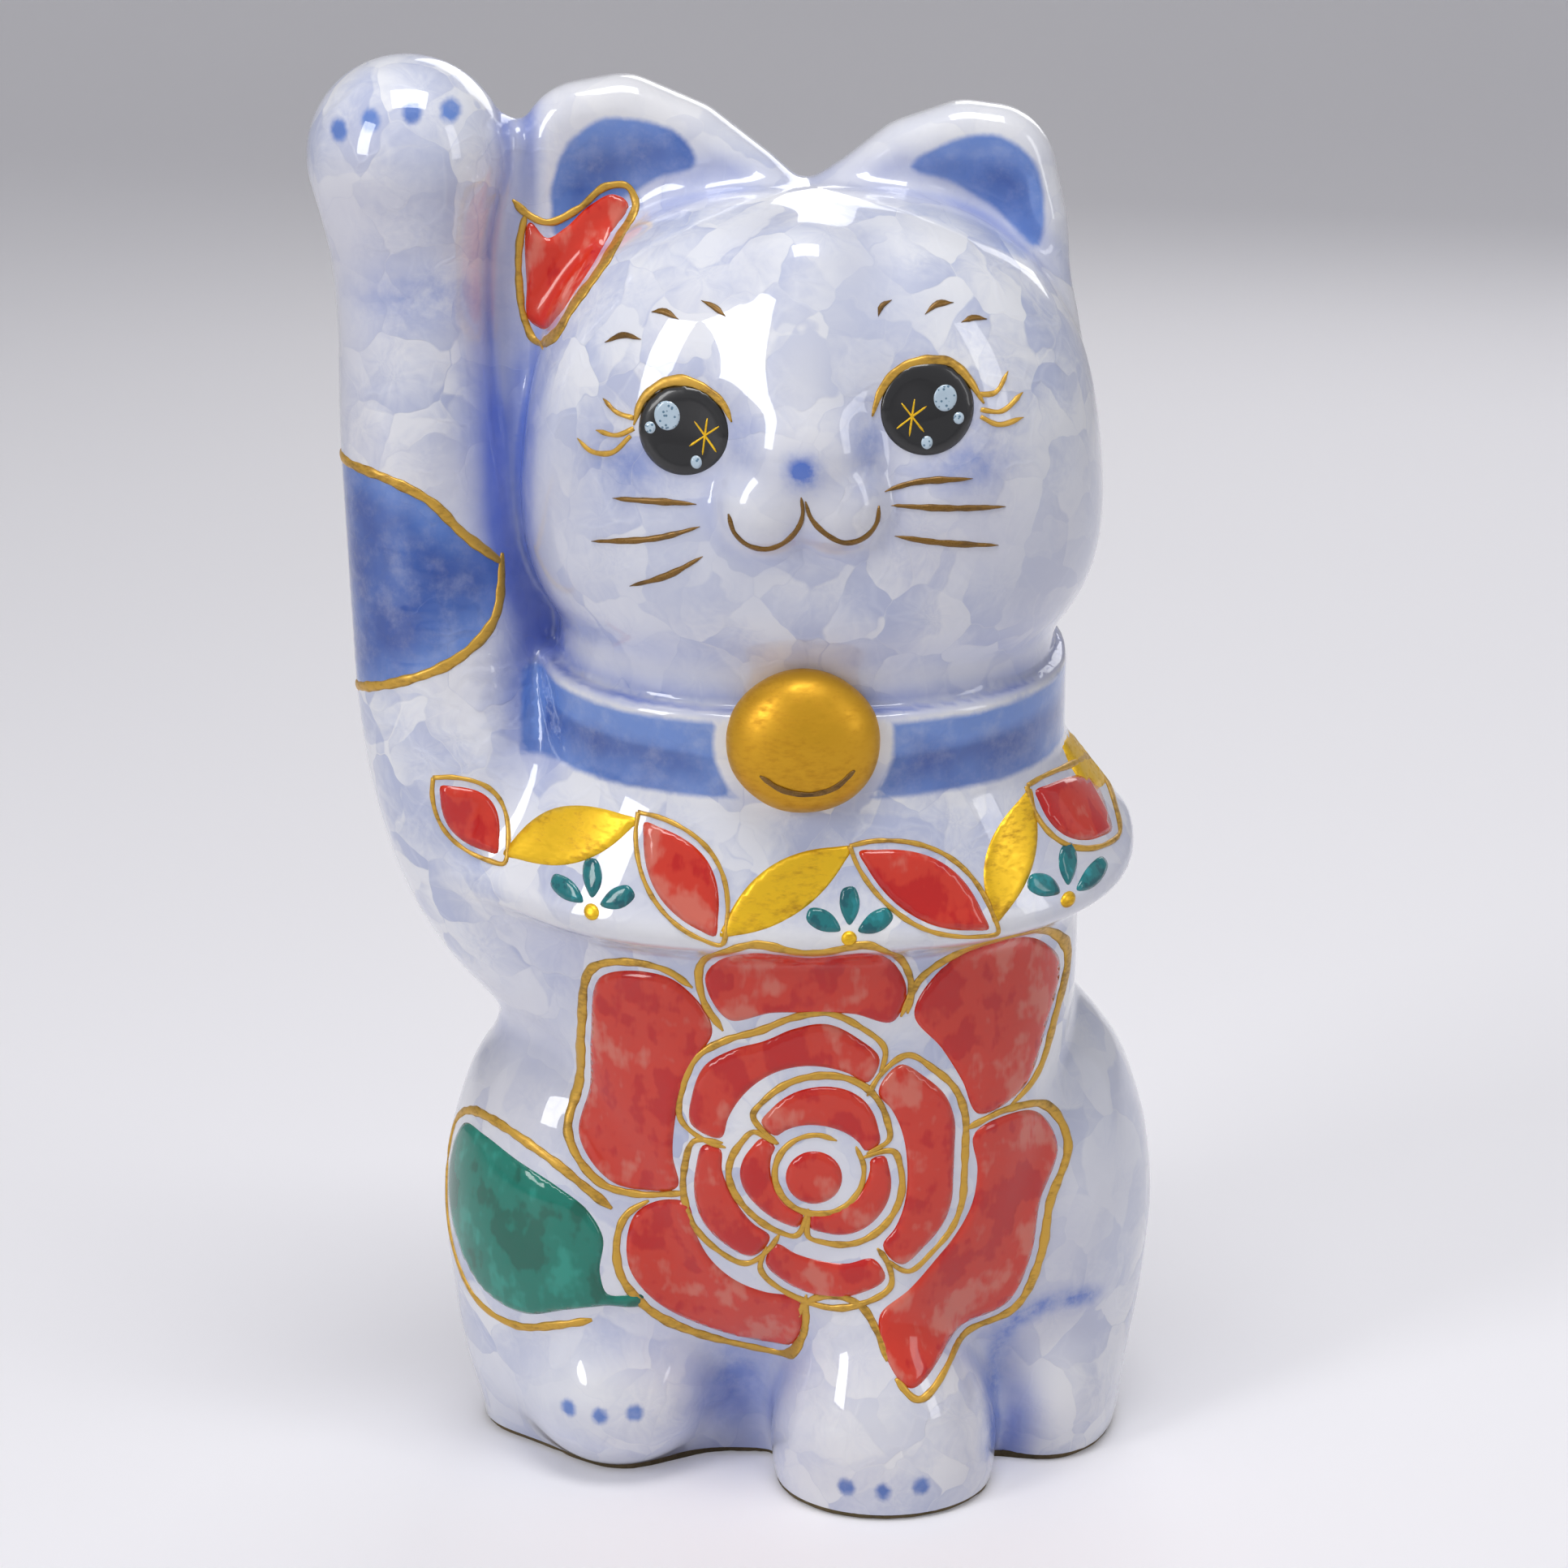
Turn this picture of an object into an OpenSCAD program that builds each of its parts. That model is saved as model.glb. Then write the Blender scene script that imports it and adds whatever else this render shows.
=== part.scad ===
// Beckoning cat: a hollow slip-cast porcelain figure, luted together from
// separate castings, glazed, then decorated with fired enamels and gold.
// Front is -Y, +Z is up, and the origin is on the table under the body.
// The cat raises its right paw, which is on the -X side.

/* [Body] */
// Width across the haunches
haunch_w = 92; // [84:1:104]
// Width of the torso at the waist
torso_w = 71; // [64:1:78]
// Depth of the torso at the waist
torso_d = 50; // [44:1:58]
// Width of the body where it meets the table
base_w = 75; // [68:1:82]
// Height of the neck joint above the table
neck_h = 104; // [98:1:118]
// Width across the ridge of the bib
bib_w = 84; // [78:1:94]
// Wall thickness of the castings
wall = 3.5; // [2.6:0.1:4.5]

/* [Head] */
// Width across the cheeks
head_w = 72; // [62:1:84]
// Depth of the head, muzzle left out
head_d = 58; // [50:1:68]
// Height of the head from chin to crown
head_h = 61.5; // [54:0.5:72]
// Height of the left ear's tip above the crown
ear_rise = 10.5; // [8:0.5:15]
// Radius of an ear's rounded tip
ear_r = 9; // [7:0.5:11]
// Radius of each whisker pad of the muzzle
pad_r = 5.2; // [4.2:0.1:6.4]

/* [Limbs] */
// Radius of the raised arm beside the head
arm_r = 9.6; // [8.4:0.1:10.8]
// Radius of the raised paw
paw_r = 12.4; // [10.5:0.1:14.5]
// Height of the raised paw's top above the table
paw_top = 180; // [168:1:200]
// Half width of the planted front paw
front_paw_r = 13; // [10.5:0.1:15]
// Half width of the right hind foot, which turns forward
hind_foot_r = 13; // [10.5:0.1:15]
// Thickness of the tail
tail_d = 12; // [9:0.5:15]

/* [Collar and bell] */
// Height of the collar band
collar_h = 12; // [9:0.5:14]
// How far the collar stands out from the neck
collar_t = 1.6; // [1:0.1:2.4]
// Diameter of the bell
bell_d = 18.6; // [15:0.2:22]

/* [Foot slab] */
// Thickness of the slab that closes the hollow body
slab_t = 4; // [3:0.25:6]
// Height of the unglazed foot under the body
foot_h = 0.8; // [0.5:0.1:1.5]
// How far the unglazed foot lies inside the body's edge
foot_inset = 1.2; // [0.6:0.1:2]
// Gap around the slab in the body's opening
slab_gap = 0.15; // [0.05:0.05:0.4]
// Diameter of the vent holes that let steam out in the kiln
vent_d = 3; // [2:0.25:3.5]

/* [Decoration] */
// Thickness of the fired enamel
enamel_t = 0.35; // [0.25:0.05:0.6]
// Thickness of the gold and of the fine brush lines
gold_t = 0.2; // [0.15:0.05:0.3]
// Width of the gold outlines
gold_w = 1.2; // [0.8:0.1:1.6]
// Radius of the painted rose
rose_r = 31; // [26:1:34]
// Diameter of each painted eye
eye_d = 11.4; // [9:0.2:13]

/* [Hidden] */

ring_n = 28;            // points round each section
inner_n = 16;           // points round each section of a hollow
ball_n = 24;            // facets round each rounded form
head_z = neck_h - 1.5;  // underside of the head
crown = head_z + head_h;
head_x = 1.5;           // the head sits slightly to the left paw's side
head_y = -3;
arm_x = head_x - head_w / 2 - 13;
paw_z = paw_top - paw_r;
eye_z = head_z + 0.61 * head_h;
flush = 0.02;           // keeps two flat faces from lying in one plane

// How far back from the front each view reaches when it is drawn on a surface.
eye_back = -10;
face_back = -5;
patch_back = -2;
chest_back = -6;
haunch_back = 2;
arm_back = 8;

// ---- smooth sections --------------------------------------------------

function spline(a, b, c, d, t) =
    0.5 * ((2 * b) + (c - a) * t + (2 * a - 5 * b + 4 * c - d) * t * t
        + (3 * b - a - 3 * c + d) * t * t * t);

function row(table, i) = table[max(0, min(len(table) - 1, i))];

// A table of sections, with `steps` sections in each span.
function smooth(table, steps) = [
    for (i = [0:len(table) - 2])
        for (s = [0:steps - 1])
            spline(row(table, i - 1), table[i], table[i + 1], row(table, i + 2), s / steps),
    table[len(table) - 1]
];

// One section: [z, x centre, y centre, half width, front, back, squareness].
function ring(r, grow, n) = [
    for (k = [0:n - 1])
        let (a = 360 * k / n, c = cos(a), s = sin(a), e = 2 / r[6])
        [r[1] + (r[3] + grow) * sign(c) * pow(abs(c), e),
         r[2] + ((s < 0 ? r[4] : r[5]) + grow) * sign(s) * pow(abs(s), e),
         r[0]]
];

// A closed skin over the sections; the two ends move out by `grow` as well.
module loft(table, grow = 0, steps = 2) {
    n = grow < 0 ? inner_n : ring_n;
    rows = smooth(table, grow < 0 ? 1 : steps);
    last = len(rows) - 1;
    points = [
        for (i = [0:last])
            for (p = ring(rows[i], grow, n))
                p + [0, 0, i == 0 ? -grow : i == last ? grow : 0]
    ];
    sides = [
        for (i = [0:last - 1])
            for (k = [0:n - 1])
                let (a = i * n + k, b = i * n + (k + 1) % n)
                each [[a, b + n, b], [a, a + n, b + n]]
    ];
    floor_face = [for (k = [0:n - 1]) k];
    top_face = [for (k = [n - 1:-1:0]) last * n + k];
    polyhedron(points, concat(sides, [floor_face], [top_face]), convexity = 4);
}

module ball(centre, radii, grow = 0, n = ball_n) {
    translate(centre)
        scale(radii + grow * [1, 1, 1])
            sphere(1, $fn = n);
}

// Everything inside becomes one closed mesh.
module one_skin() {
    resize([0, 0, 0]) children();
}

// Clears everything under the body's lower edge, or `lift` above it.
module under_cut(lift = 0) {
    translate([-100, -100, foot_h + lift - 100]) cube([200, 200, 100]);
}

// A front view, drawn in X and Z, pushed through from y_front to y_back.
module stencil(y_back, y_front = -80) {
    translate([0, y_back, 0])
        rotate([90, 0, 0])
            linear_extrude(y_back - y_front) children();
}

// ---- forms of the castings, each grown by `grow` ------------------------

base_section = [foot_h, 2, 3, base_w / 2, 13, 28, 2.3];

module body_core(grow = 0) {
    front = torso_d / 2;
    loft([
        base_section,
        [12, 2, 3, base_w / 2 - 1, 17, 30, 2.2],
        [24, 3, 3, base_w / 2 - 4, 23, 30, 2.2],
        [38, 2, 3, torso_w / 2 - 2, front + 2, 29, 2.3],
        [52, 0.5, 2, torso_w / 2 - 0.5, front + 2, 27, 2.5],
        [64, 0, 1, torso_w / 2, front + 0.5, torso_d / 2 + 1, 2.6],
        [76, 0, 0, torso_w / 2 - 0.5, front, torso_d / 2 - 1, 2.5],
        [neck_h - 11, 0, -1, torso_w / 2 - 4, front, torso_d / 2 - 2, 2.3],
        [neck_h, 0.5, -1, torso_w / 2 - 6, front - 2, torso_d / 2 - 3, 2.2]
    ], grow);
}

// side is -1 for the right haunch, beside the forward foot, and 1 for the left.
module haunch(side, grow = 0) {
    half = haunch_w / 2;
    y = side < 0 ? 3 : 7;
    loft([for (r = [
            [foot_h, 0.38, 0.5, 0.8],
            [8, 0.42, 0.62, 0.93],
            [20, 0.46, 0.86, 1],
            [33, 0.48, 1, 1],
            [44, 0.45, 0.93, 0.92],
            [53, 0.38, 0.72, 0.74],
            [60, 0.26, 0.42, 0.46],
            [63, 0.12, 0.2, 0.2]
        ]) [r[0], side * half * 0.52, y, half * r[1], 24 * r[2], 25 * r[3], 2.05]
    ], grow);
}

// The bib's ridge rises from the chest to the shoulders.
module bib(grow = 0) {
    half = bib_w / 2;
    front = torso_d / 2;
    translate([0, 0, neck_h - 22.5])
        rotate([11, 0, 0])
            loft([
                [-10, 0, 0, half - 8, front - 1, 18, 2.3],
                [-4, 0, 0, half - 3.5, front + 3.5, 21, 2.4],
                [-0.5, 0, 0, half, front + 6.2, 22, 2.4],
                [2.5, 0, 0, half - 0.8, front + 5.6, 22, 2.4],
                [9, 0, 0, half - 5.5, front + 2.5, 21, 2.3],
                [17, 0, 0, half - 10.5, front - 2, 19, 2.2]
            ], grow, 1);
}

module body_form(grow = 0) {
    difference() {
        union() {
            body_core(grow);
            haunch(-1, grow);
            haunch(1, grow);
            bib(grow);
        }
        under_cut(-min(grow, 0));
    }
}

module head_form(grow = 0) {
    w = head_w / 2;
    d = head_d / 2;
    loft([for (r = [
            [0, 0.55, 0.56, 0.52, 2],
            [0.055, 0.83, 0.82, 0.78, 2.1],
            [0.145, 0.96, 0.95, 0.92, 2.2],
            [0.29, 1, 1.01, 0.99, 2.25],
            [0.46, 0.98, 1.02, 1, 2.3],
            [0.62, 0.94, 0.98, 0.97, 2.3],
            [0.78, 0.87, 0.89, 0.89, 2.3],
            [0.9, 0.74, 0.73, 0.74, 2.2],
            [0.97, 0.5, 0.48, 0.5, 2],
            [1, 0.08, 0.08, 0.08, 2]
        ]) [head_z + head_h * r[0], head_x, head_y, w * r[1], d * r[2], d * r[3], r[4]]
    ], grow);
}

muzzle_x = head_x - 1;
muzzle_y = head_y - head_d / 2;
muzzle_z = head_z + 0.42 * head_h;

module muzzle(grow = 0) {
    for (side = [-1, 1])
        ball([muzzle_x + side * 0.88 * pad_r, muzzle_y + 1.4, muzzle_z],
            [pad_r, pad_r - 0.3, pad_r], grow, 20);
    hull() {
        ball([muzzle_x, muzzle_y + 0.3, muzzle_z + 1.1 * pad_r], [4.4, 4, 3.4], grow, 16);
        ball([muzzle_x, muzzle_y + 5, muzzle_z + 4.4 * pad_r], [3, 3, 3], grow, 16);
    }
}

module face_form(grow = 0) {
    head_form(grow);
    muzzle(grow);
}

module arm_form(grow = 0) {
    // The shoulder end leans into the torso, so its sections drift outward.
    shoulder = [
        [neck_h - 45, -27, 0, 8, 9, 9, 2],
        [neck_h - 38, -30, -1, 10.5, 11, 11, 2],
        [neck_h - 31, -34, -1.5, 12, 12.5, 12.5, 2.1],
        [neck_h - 23, -37.4, -2, 12.7, 13, 13, 2.1],
        [neck_h - 14, -40.4, -2, 12.5, 12.8, 12.8, 2.1],
        [neck_h - 4, arm_x + 4.4, -2, arm_r + 2.6, arm_r + 2.8, arm_r + 2.8, 2.1],
        [neck_h + 6, arm_x + 2.8, -2, arm_r + 1.8, arm_r + 2, arm_r + 2, 2.1],
        [neck_h + 18, arm_x + 1.2, -2, arm_r + 0.8, arm_r + 1, arm_r + 1, 2.1],
        [neck_h + 36, arm_x + 0.2, -2, arm_r, arm_r + 0.2, arm_r + 0.2, 2.1],
        [paw_z - paw_r - 3, arm_x, -2, arm_r, arm_r, arm_r, 2.05]
    ];
    paw = [for (a = [-40:14:86])
        [paw_z + paw_r * sin(a), arm_x - 0.2, -2,
            paw_r * cos(a), paw_r * cos(a), paw_r * cos(a), 2]];
    loft(concat(shoulder, paw), grow, 1);
}

// Strip of clay that ties the raised arm to the head and the ear beside it.
module arm_strip() {
    hull() {
        ball([arm_x + 10, 0, neck_h + 10], [5.5, 4, 5], 0, 16);
        ball([arm_x + 11, 0, paw_z + 1], [4.6, 4, 3.6], 0, 16);
    }
}

function ear_x(side, share) = head_x - 2 + side * share * head_w;

// side is -1 for the ear beside the raised paw and 1 for the other.
module ear_form(side) {
    tip = [ear_x(side, 0.333), 1, crown + ear_rise - ear_r + (side < 0 ? 2.5 : 0)];
    difference() {
        hull() {
            ball(tip, [ear_r, 5, ear_r]);
            ball([ear_x(side, 0.07), 1, crown - 5], [5, 5, 5], 0, 20);
            ball([ear_x(side, 0.41), 2, crown - 14.5], [5, 5, 5], 0, 20);
        }
        // scooped inner face
        ball(tip + [-side * 1, -8.8, -3], [9.5, 6, 8.5], 0, 24);
    }
}

// Each paw on the table is a flattened ball that the table cuts: its middle and its radii.
front_paw = [[10.8, -17, 5.6], [front_paw_r, 14.2, 17.4]];

function hind_paw(side) = side < 0
    ? [[-23.2, -7.4, 11], [hind_foot_r, 15.6, 12]]
    : [[32, -1, 8.6], [hind_foot_r - 3.2, 13.2, 12.2]];

module front_leg_form(grow = 0) {
    ball(front_paw[0], front_paw[1], grow);
    hull() {
        ball([9, -19.5, 23.5], [6.5, 7, 6], grow, 20);
        ball([9.8, -18, 14], [8, 9, 7], grow, 20);
    }
}

module hind_foot_form(side, grow = 0) {
    paw = hind_paw(side);
    ball(paw[0], paw[1], grow);
}

module tail_form(grow = 0) {
    r = tail_d / 2;
    path = [[13, 29, 8], [8, 33, 10], [1, 34.5, 15], [-4, 33.5, 22], [-5, 31, 29]];
    for (i = [0:len(path) - 2])
        hull()
            for (p = [path[i], path[i + 1]])
                ball(p, [r, r, r], grow, 20);
}

module collar_form(grow = 0) {
    half = torso_w / 2 - 4 + collar_t;
    front = torso_d / 2 + 1 + collar_t;
    back = torso_d / 2 - 1.5 + collar_t;
    edge = 1.2;
    translate([0, 0, neck_h - 2.5])
        rotate([7, 0, 0])
            loft([
                [-collar_h / 2, 0.5, -1, half - edge, front - edge, back - edge, 2.3],
                [-collar_h / 2 + edge, 0.5, -1, half, front, back, 2.3],
                [collar_h / 2 - edge, 0.5, -1, half, front, back, 2.3],
                [collar_h / 2, 0.5, -1, half - edge, front - edge, back - edge, 2.3]
            ], grow, 1);
}

module bell_form(grow = 0) {
    ball([0.5, -torso_d / 2 - 3, neck_h - 3.5], [bell_d / 2, 4.6, bell_d / 2 - 0.7], grow);
}

// ---- cavities and the base ---------------------------------------------

slab_inset = wall + 4;   // the plug lies inside the body's wall and its lip

module section_outline(inset) {
    polygon([for (p = ring(base_section, -inset, ring_n)) [p[0], p[1]]]);
}

// Where a paw meets the table, `inset` inside its edge.
module paw_print(paw, inset) {
    share = sqrt(1 - pow((foot_h - paw[0][2]) / paw[1][2], 2));
    translate([paw[0][0], paw[0][1]])
        scale([paw[1][0] * share - inset, paw[1][1] * share - inset])
            circle(1, $fn = ball_n);
}

// The bare foot follows the body's edge and runs under the three paws.
module foot_outline() {
    section_outline(foot_inset);
    paw_print(front_paw, foot_inset);
    for (side = [-1, 1]) paw_print(hind_paw(side), foot_inset);
}

module slab_opening() {
    translate([0, 0, foot_h - 1])
        linear_extrude(slab_t - foot_h + 1.01)
            section_outline(slab_inset - slab_gap);
}

module neck_vent() {
    translate([0, 0, neck_h - 12]) cylinder(d = vent_d, h = 24, $fn = 24);
}

module arm_vent() {
    translate([-31, 0, neck_h - 26])
        rotate([0, 60, 0]) cylinder(d = vent_d, h = 22, center = true, $fn = 24);
}

// ---- castings --------------------------------------------------------------

module foot_slab() {
    color([0.35, 0.27, 0.18])
        difference() {
            union() {
                linear_extrude(foot_h) foot_outline();
                translate([0, 0, foot_h / 2])
                    linear_extrude(slab_t - foot_h / 2) section_outline(slab_inset);
            }
            translate([2, 16, -1]) cylinder(d = vent_d, h = slab_t + 2, $fn = 24);
        }
}

module body_casting() {
    color([0.86, 0.89, 0.97])
        one_skin()
            difference() {
                body_form();
                intersection() {
                    body_form(-wall);
                    translate([-100, -100, slab_t]) cube([200, 200, 200]);
                }
                slab_opening();
                neck_vent();
                arm_vent();
            }
}

module head_casting() {
    color([0.9, 0.92, 0.98])
        one_skin()
            difference() {
                face_form();
                head_form(-wall);
                body_form();
                neck_vent();
            }
}

module raised_arm() {
    color([0.84, 0.88, 0.97])
        one_skin()
            difference() {
                union() {
                    arm_form();
                    arm_strip();
                }
                arm_form(-wall);
                body_form();
                head_form();
                arm_vent();
            }
}

module ear(side) {
    color([0.95, 0.96, 0.99])
        one_skin()
            difference() {
                ear_form(side);
                head_form();
                arm_form();
                arm_strip();
            }
}

module front_leg() {
    color([0.93, 0.94, 0.99])
        one_skin()
            difference() {
                front_leg_form();
                body_form();
                under_cut();
            }
}

module hind_foot(side) {
    color([0.93, 0.94, 0.99])
        one_skin()
            difference() {
                hind_foot_form(side);
                body_form();
                front_leg_form();
                under_cut(flush);
            }
}

module tail() {
    color([0.88, 0.9, 0.97])
        one_skin()
            difference() {
                tail_form();
                body_form();
                under_cut();
            }
}

module collar_band() {
    color([0.2, 0.35, 0.72])
        one_skin()
            difference() {
                collar_form();
                body_form();
                head_form();
                arm_form();
            }
}

module bell() {
    color([0.72, 0.54, 0.05])
        one_skin()
            difference() {
                bell_form();
                collar_form();
                body_form();
                head_form();
            }
}

// ---- decoration: thin layers on the glaze ----------------------------------

gold = [0.72, 0.54, 0.05];
red = [0.8, 0.12, 0.08];

module head_layer(t) {
    one_skin()
        difference() {
            intersection() {
                face_form(t);
                children();
            }
            face_form();
            arm_form();
            arm_strip();
            for (side = [-1, 1]) ear_form(side);
        }
}

module body_layer(t) {
    one_skin()
        difference() {
            intersection() {
                union() {
                    body_form(t);
                    front_leg_form(t);
                    arm_form(t);
                }
                children();
            }
            body_form();
            front_leg_form();
            arm_form();
            for (side = [-1, 1]) hind_foot_form(side);
            collar_form();
            bell_form();
        }
}

module arm_layer(t) {
    one_skin()
        difference() {
            intersection() {
                arm_form(t);
                children();
            }
            arm_form();
            arm_strip();
            body_form();
            head_form();
        }
}

// The line round an outline, `gap` outside it.
module line_round(gap = 0.5, width = gold_w) {
    difference() {
        offset(delta = gap + width) children();
        offset(delta = gap) children();
    }
}

// A brush stroke that is thick at its start and thin at its end.
module stroke(a, b, width) {
    hull() {
        translate(a) circle(d = width, $fn = 10);
        translate(b) circle(d = 0.45 * width, $fn = 10);
    }
}

// A pointed leaf from one tip to the other.
module leaf_2d(a, b, width) {
    d = b - a;
    n = [-d[1], d[0]] / norm(d);
    steps = 6;
    side_at = function (t) 4 * t * (1 - t) * width / 2;
    polygon([
        for (i = [0:steps]) let (t = i / steps) a + d * t + n * side_at(t),
        for (i = [steps - 1:-1:1]) let (t = i / steps) a + d * t - n * side_at(t)
    ]);
}

function eye_x(side) = head_x + side * 0.198 * head_w - 0.8;
function eye_at(side) = [eye_x(side), eye_z + side * 1.2];

module eye(side) {
    color([0.02, 0.02, 0.03])
        head_layer(enamel_t)
            stencil(eye_back) translate(eye_at(side)) circle(d = eye_d, $fn = 28);
}

// The upper lid's line and three lashes on each outer side.
module eye_gold() {
    color(gold)
        head_layer(gold_t)
            stencil(face_back)
                for (side = [-1, 1])
                    translate(eye_at(side)) {
                        intersection() {
                            line_round(0, 1) circle(d = eye_d, $fn = 28);
                            translate([-eye_d, 0.5]) square([2 * eye_d, eye_d]);
                        }
                        for (a = [2, -16, -34])
                            rotate(side > 0 ? a : 180 - a)
                                stroke([eye_d / 2 + 0.6, 0], [eye_d / 2 + 4, 1], 0.7);
                    }
}

module brow_lines() {
    color(gold)
        head_layer(gold_t)
            stencil(face_back)
                for (side = [-1, 1])
                    for (i = [0:2])
                        translate([head_x + side * (10.5 + 4.6 * i) - 1, eye_z + 13 - 1.9 * i])
                            rotate(-side * 22) stroke([-1.7, 0], [1.7, 0], 0.8);
}

// Stem and two upturned curves under the nose.
module mouth_line() {
    color(gold)
        head_layer(gold_t)
            stencil(muzzle_y + 8)
                translate([muzzle_x, muzzle_z]) {
                    stroke([0, 2.8], [0, 0.4], 0.7);
                    for (side = [-1, 1])
                        translate([side * 0.85 * pad_r, 0.4])
                            difference() {
                                line_round(-0.4, 0.7) circle(r = 0.85 * pad_r, $fn = 24);
                                translate([-10, 0]) square([20, 10]);
                            }
                }
}

module whisker_lines() {
    rows = [[2.2, 10, 10], [-1.6, 12, 12.5], [-5, 10.5, 12]];
    color(gold)
        head_layer(gold_t)
            stencil(face_back)
                for (side = [-1, 1])
                    for (r = rows)
                        translate([muzzle_x + side * 11.4, muzzle_z + r[0]])
                            stroke([0, 0], [side * r[1], (r[0] - 1) * 0.4], 0.9);
}

head_patch_2d = [[-33, 160], [-28.6, 159.5], [-22.8, 163], [-20.8, 162.4], [-24.6, 156],
    [-28.4, 150.4], [-31.8, 146.4], [-33.6, 150]];

module head_patch() {
    color(red)
        head_layer(enamel_t)
            stencil(patch_back) polygon(head_patch_2d);
}

module head_patch_edge() {
    color(gold)
        head_layer(gold_t)
            stencil(patch_back) line_round(0.4) polygon(head_patch_2d);
}

// The gold line round the underglaze blue patch that wraps the raised arm.
module arm_patch_edge() {
    color(gold)
        arm_layer(gold_t)
            stencil(arm_back)
                line_round(0)
                    polygon([[-62, 131], [-50, 129.3], [-44.9, 126.7], [-41.4, 122.5],
                        [-38, 118.3], [-39.4, 111.5], [-43.4, 106.8], [-48.9, 104.2],
                        [-62, 101.4]]);
}

// Each leaf of the garland: its two tips and its width.
red_leaves = [
    [[-44, 92], [-38, 84.5], 4.6],
    [[-18.6, 89.4], [-10.4, 77.4], 6.2],
    [[7.4, 86.6], [23, 77.2], 6],
    [[29.4, 91.4], [38.6, 84.6], 4.4]
];
gold_leaves = [
    [[-36.6, 83.8], [-19.8, 89.8], 4.6],
    [[-9.6, 77.2], [6.4, 87.4], 5],
    [[23.8, 78], [28.6, 91.8], 5]
];

module leaves(list) {
    for (l = list) leaf_2d(l[0], l[1], l[2]);
}

module bib_red_leaves() {
    color(red) body_layer(enamel_t) stencil(chest_back) leaves(red_leaves);
}

module bib_gold_leaves() {
    color(gold) body_layer(gold_t) stencil(chest_back) leaves(gold_leaves);
}

module bib_leaf_edges() {
    color(gold)
        body_layer(gold_t)
            stencil(chest_back)
                difference() {
                    for (l = red_leaves) line_round(0.2, 0.7) leaf_2d(l[0], l[1], l[2]);
                    leaves(gold_leaves);
                    leaves(red_leaves);
                }
}

sprig_feet = [[-25.3, 79.4], [5.5, 77.4], [33.4, 79.4]];

module bib_sprigs() {
    color([0.02, 0.42, 0.4])
        body_layer(enamel_t)
            stencil(chest_back)
                for (p = sprig_feet)
                    translate(p)
                        for (a = [-62, 0, 62])
                            rotate(a) translate([0, 3]) scale([0.45, 1]) circle(r = 1.7, $fn = 14);
}

module bib_berries() {
    color(gold)
        body_layer(enamel_t)
            stencil(chest_back)
                for (p = sprig_feet) translate(p) circle(r = 0.8, $fn = 14);
}

rose_c = [2.5, 44];
// Each round of petals: how many, inner and outer radius, and its turn.
rose_rounds = [[1, 0, 0.17, 0], [3, 0.19, 0.55, 20], [5, 0.54, 1, 36]];

module petal_2d(count, r1, r2, turn) {
    span = 360 / count;
    steps = 6;
    edge = [for (i = [0:steps]) turn + span * i / steps];
    dip = count > 1 ? 0.14 : 0;
    offset(delta = -gold_w / 2 - 0.5)
        polygon([
            for (a = edge) r1 * [cos(a), sin(a)],
            for (i = [steps:-1:0])
                let (u = 2 * i / steps - 1)
                r2 * (1 - dip * u * u) * [cos(edge[i]), sin(edge[i])]
        ]);
}

// All petals, kept clear of the leg that stands in front of the rose.
module rose_2d(gap = 0) {
    difference() {
        for (r = rose_rounds)
            for (i = [0:r[0] - 1])
                translate(rose_c)
                    if (gap > 0)
                        line_round(gap, gold_w * 0.8)
                            petal_2d(r[0], r[1] * rose_r, r[2] * rose_r, r[3] + 360 * i / r[0]);
                    else
                        petal_2d(r[0], r[1] * rose_r, r[2] * rose_r, r[3] + 360 * i / r[0]);
        translate([10, 12]) scale([1, 1.7]) circle(r = 9, $fn = 24);
    }
}

module rose_petals() {
    color(red) body_layer(enamel_t) stencil(chest_back) rose_2d();
}

module rose_edges() {
    color(gold) body_layer(gold_t) stencil(chest_back) rose_2d(0.5);
}

haunch_leaf_2d = [[-41.6, 40.2], [-38, 39.8], [-33.4, 37.4], [-28.4, 33.6], [-27, 27],
    [-28.6, 21.6], [-34.4, 21.6], [-39.4, 29.5]];

module haunch_leaf() {
    color([0.03, 0.42, 0.32])
        body_layer(enamel_t)
            stencil(haunch_back) difference() {
                polygon(haunch_leaf_2d);
                offset(delta = 1.8) rose_2d();
            }
}

module haunch_leaf_edge() {
    color(gold)
        body_layer(gold_t)
            stencil(haunch_back) difference() {
                line_round(0.5) polygon(haunch_leaf_2d);
                offset(delta = 1.8) rose_2d();
            }
}

foot_slab();
body_casting();
head_casting();
raised_arm();
ear(-1);  // right_ear
ear(1);  // left_ear
front_leg();
hind_foot(-1);  // right_hind_foot
hind_foot(1);  // left_hind_foot
tail();
collar_band();
bell();
eye(-1);  // right_eye
eye(1);  // left_eye
eye_gold();
brow_lines();
mouth_line();
whisker_lines();
head_patch();
head_patch_edge();
arm_patch_edge();
bib_red_leaves();
bib_gold_leaves();
bib_leaf_edges();
bib_sprigs();
bib_berries();
rose_petals();
rose_edges();
haunch_leaf();
haunch_leaf_edge();
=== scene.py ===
"""Beckoning cat in glazed porcelain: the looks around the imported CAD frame.

The casting's skin is one smooth field (mm), meshed once and parted at the seams
where the real castings are luted, so the glaze runs over the seams unbroken.
Enamels and gold are separate raised layers that lie on that skin.
"""
import math

import bpy
import numpy as np
import openvdb
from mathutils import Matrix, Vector
from mathutils.geometry import delaunay_2d_cdt


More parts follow.
